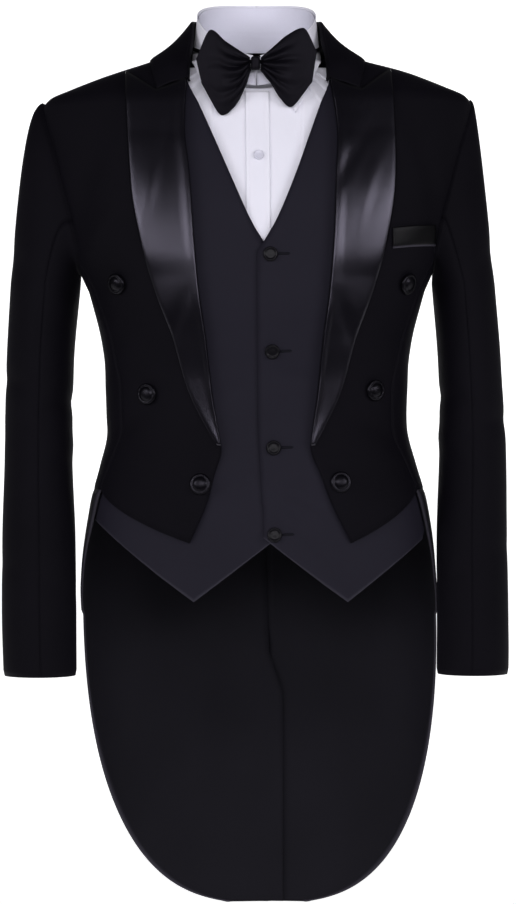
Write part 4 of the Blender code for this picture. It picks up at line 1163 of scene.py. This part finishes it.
def bow_knot():
    """Knot: a soft tube of cloth drawn tight round the pleats, with its own small folds."""
    points = []
    rows, columns = KNOT_MESH
    for r in range(rows + 1):
        rise = 2 * r / rows - 1
        for c in range(columns):
            around = 2 * math.pi * c / columns
            x = math.copysign(abs(math.sin(around)) ** 0.62, math.sin(around))
            y = math.copysign(abs(math.cos(around)) ** 0.75, math.cos(around))
            closing = (1 - abs(rise) ** 5) ** 0.28 if abs(rise) < 1 else 0.0
            pinch = 1 + 0.10 * rise * rise
            fold = 1 - 0.06 * bell(x - 0.30 - 0.2 * rise, 0.12)
            fold -= 0.05 * bell(x + 0.42 + 0.15 * rise, 0.10)
            points.append(Vector((KNOT.x + x * KNOT_SIZE[0] / 2 * pinch * closing * KNOT_FULLNESS,
                                  KNOT.y - y * KNOT_SIZE[1] / 2 * fold * closing,
                                  KNOT.z + rise * KNOT_SIZE[2] / 2)))
    item = mesh_object("tied_knot", points, ring_faces(rows + 1, columns), GROSGRAIN)
    settle(item, "bow_knot")


# Stage, in metres: the sweep's y and z, and half its width
SWEEP = ((-0.8, -1.42), (8.4, -1.42), (9.2, -1.30), (9.8, -0.95), (10.0, -0.4), (10.0, 4.0))
SWEEP_HALF = 4.5
SWEEP_ROWS = 40
PAPER_SHADES = ((0.93, 0.93, 0.93), (0.96, 0.96, 0.96))
PAPER_GLOW = 0.85
WORLD_GLOW = 0.06
# View, in metres, and lamps: name, place, width and height, watts
VIEW_PLACE = (0.00165, -4.0, -0.4246)
VIEW_LENS = 144.8
LAMP_TARGET = (0, 0, -0.2)
LAMP_TINT = (0.96, 0.94, 1.0)
LAMPS = (("front_softbox", (0, -4.3, 0.42), (3.4, 0.75), 100), ("left_softbox", (-3.3, -2.7, 0.42),
    (2.4, 0.75), 69), ("right_softbox", (3.3, -2.7, 0.42), (2.4, 0.75), 69))


def plain_stage():
    """Pale floor that curves up into a backdrop, a pale world, and soft studio light."""
    scene = bpy.context.scene
    floor, tree, shader, place = new_material("pale_paper")
    colour, _ = colour_noise(tree, place, 1.5, *PAPER_SHADES)
    fill(shader, Base_Color=colour, Emission_Color=colour, Emission_Strength=PAPER_GLOW, Roughness=0.9)
    across, up = curves_along(SWEEP)
    points = [Vector((x / MM, across(share) / MM, up(share) / MM)) for share in shares(SWEEP_ROWS)
              for x in (-SWEEP_HALF, SWEEP_HALF)]
    item = mesh_object("paper_sweep", points, grid_faces(SWEEP_ROWS + 1, 2), floor)
    world = bpy.data.worlds.new("pale_room")
    scene.world = world
    world.use_nodes = True
    fill(world.node_tree.nodes["Background"], Color=(1.0, 1.0, 1.0, 1.0), Strength=WORLD_GLOW)
    scene.view_settings.view_transform = "Standard"


def soft_light(name, place, size, power):
    """Large soft lamp that faces the suit."""
    data = bpy.data.lights.new(name, "AREA")
    data.shape = "RECTANGLE"
    data.size, data.size_y = size
    data.energy = power
    data.color = LAMP_TINT
    item = placed(name, data)
    item.location = place
    item.rotation_euler = (Vector(LAMP_TARGET) - Vector(place)).to_track_quat("-Z", "Y").to_euler()


def camera_and_lights():
    """Camera level with the middle of the suit, and three soft lamps."""
    data = bpy.data.cameras.new("view")
    data.sensor_fit = "VERTICAL"
    data.sensor_height = 36.0
    data.lens = VIEW_LENS
    item = placed("view", data)
    item.location = VIEW_PLACE
    item.rotation_euler = (math.radians(90), 0, 0)
    bpy.context.scene.camera = item
    for lamp in LAMPS:
        soft_light(*lamp)


def main():
    """Build every piece, the stage and the view."""
    for build in (camera_and_lights, plain_stage, coat_body, coat_tails, sleeves, lapels, breast_welt,
                  coat_collar, coat_buttons, waistcoat_fronts, waistcoat_backs, waistcoat_closure,
                  shirt_front, shirt_placket, shirt_collar, shirt_yoke, shirt_button, bow_tie):
        build()


main()
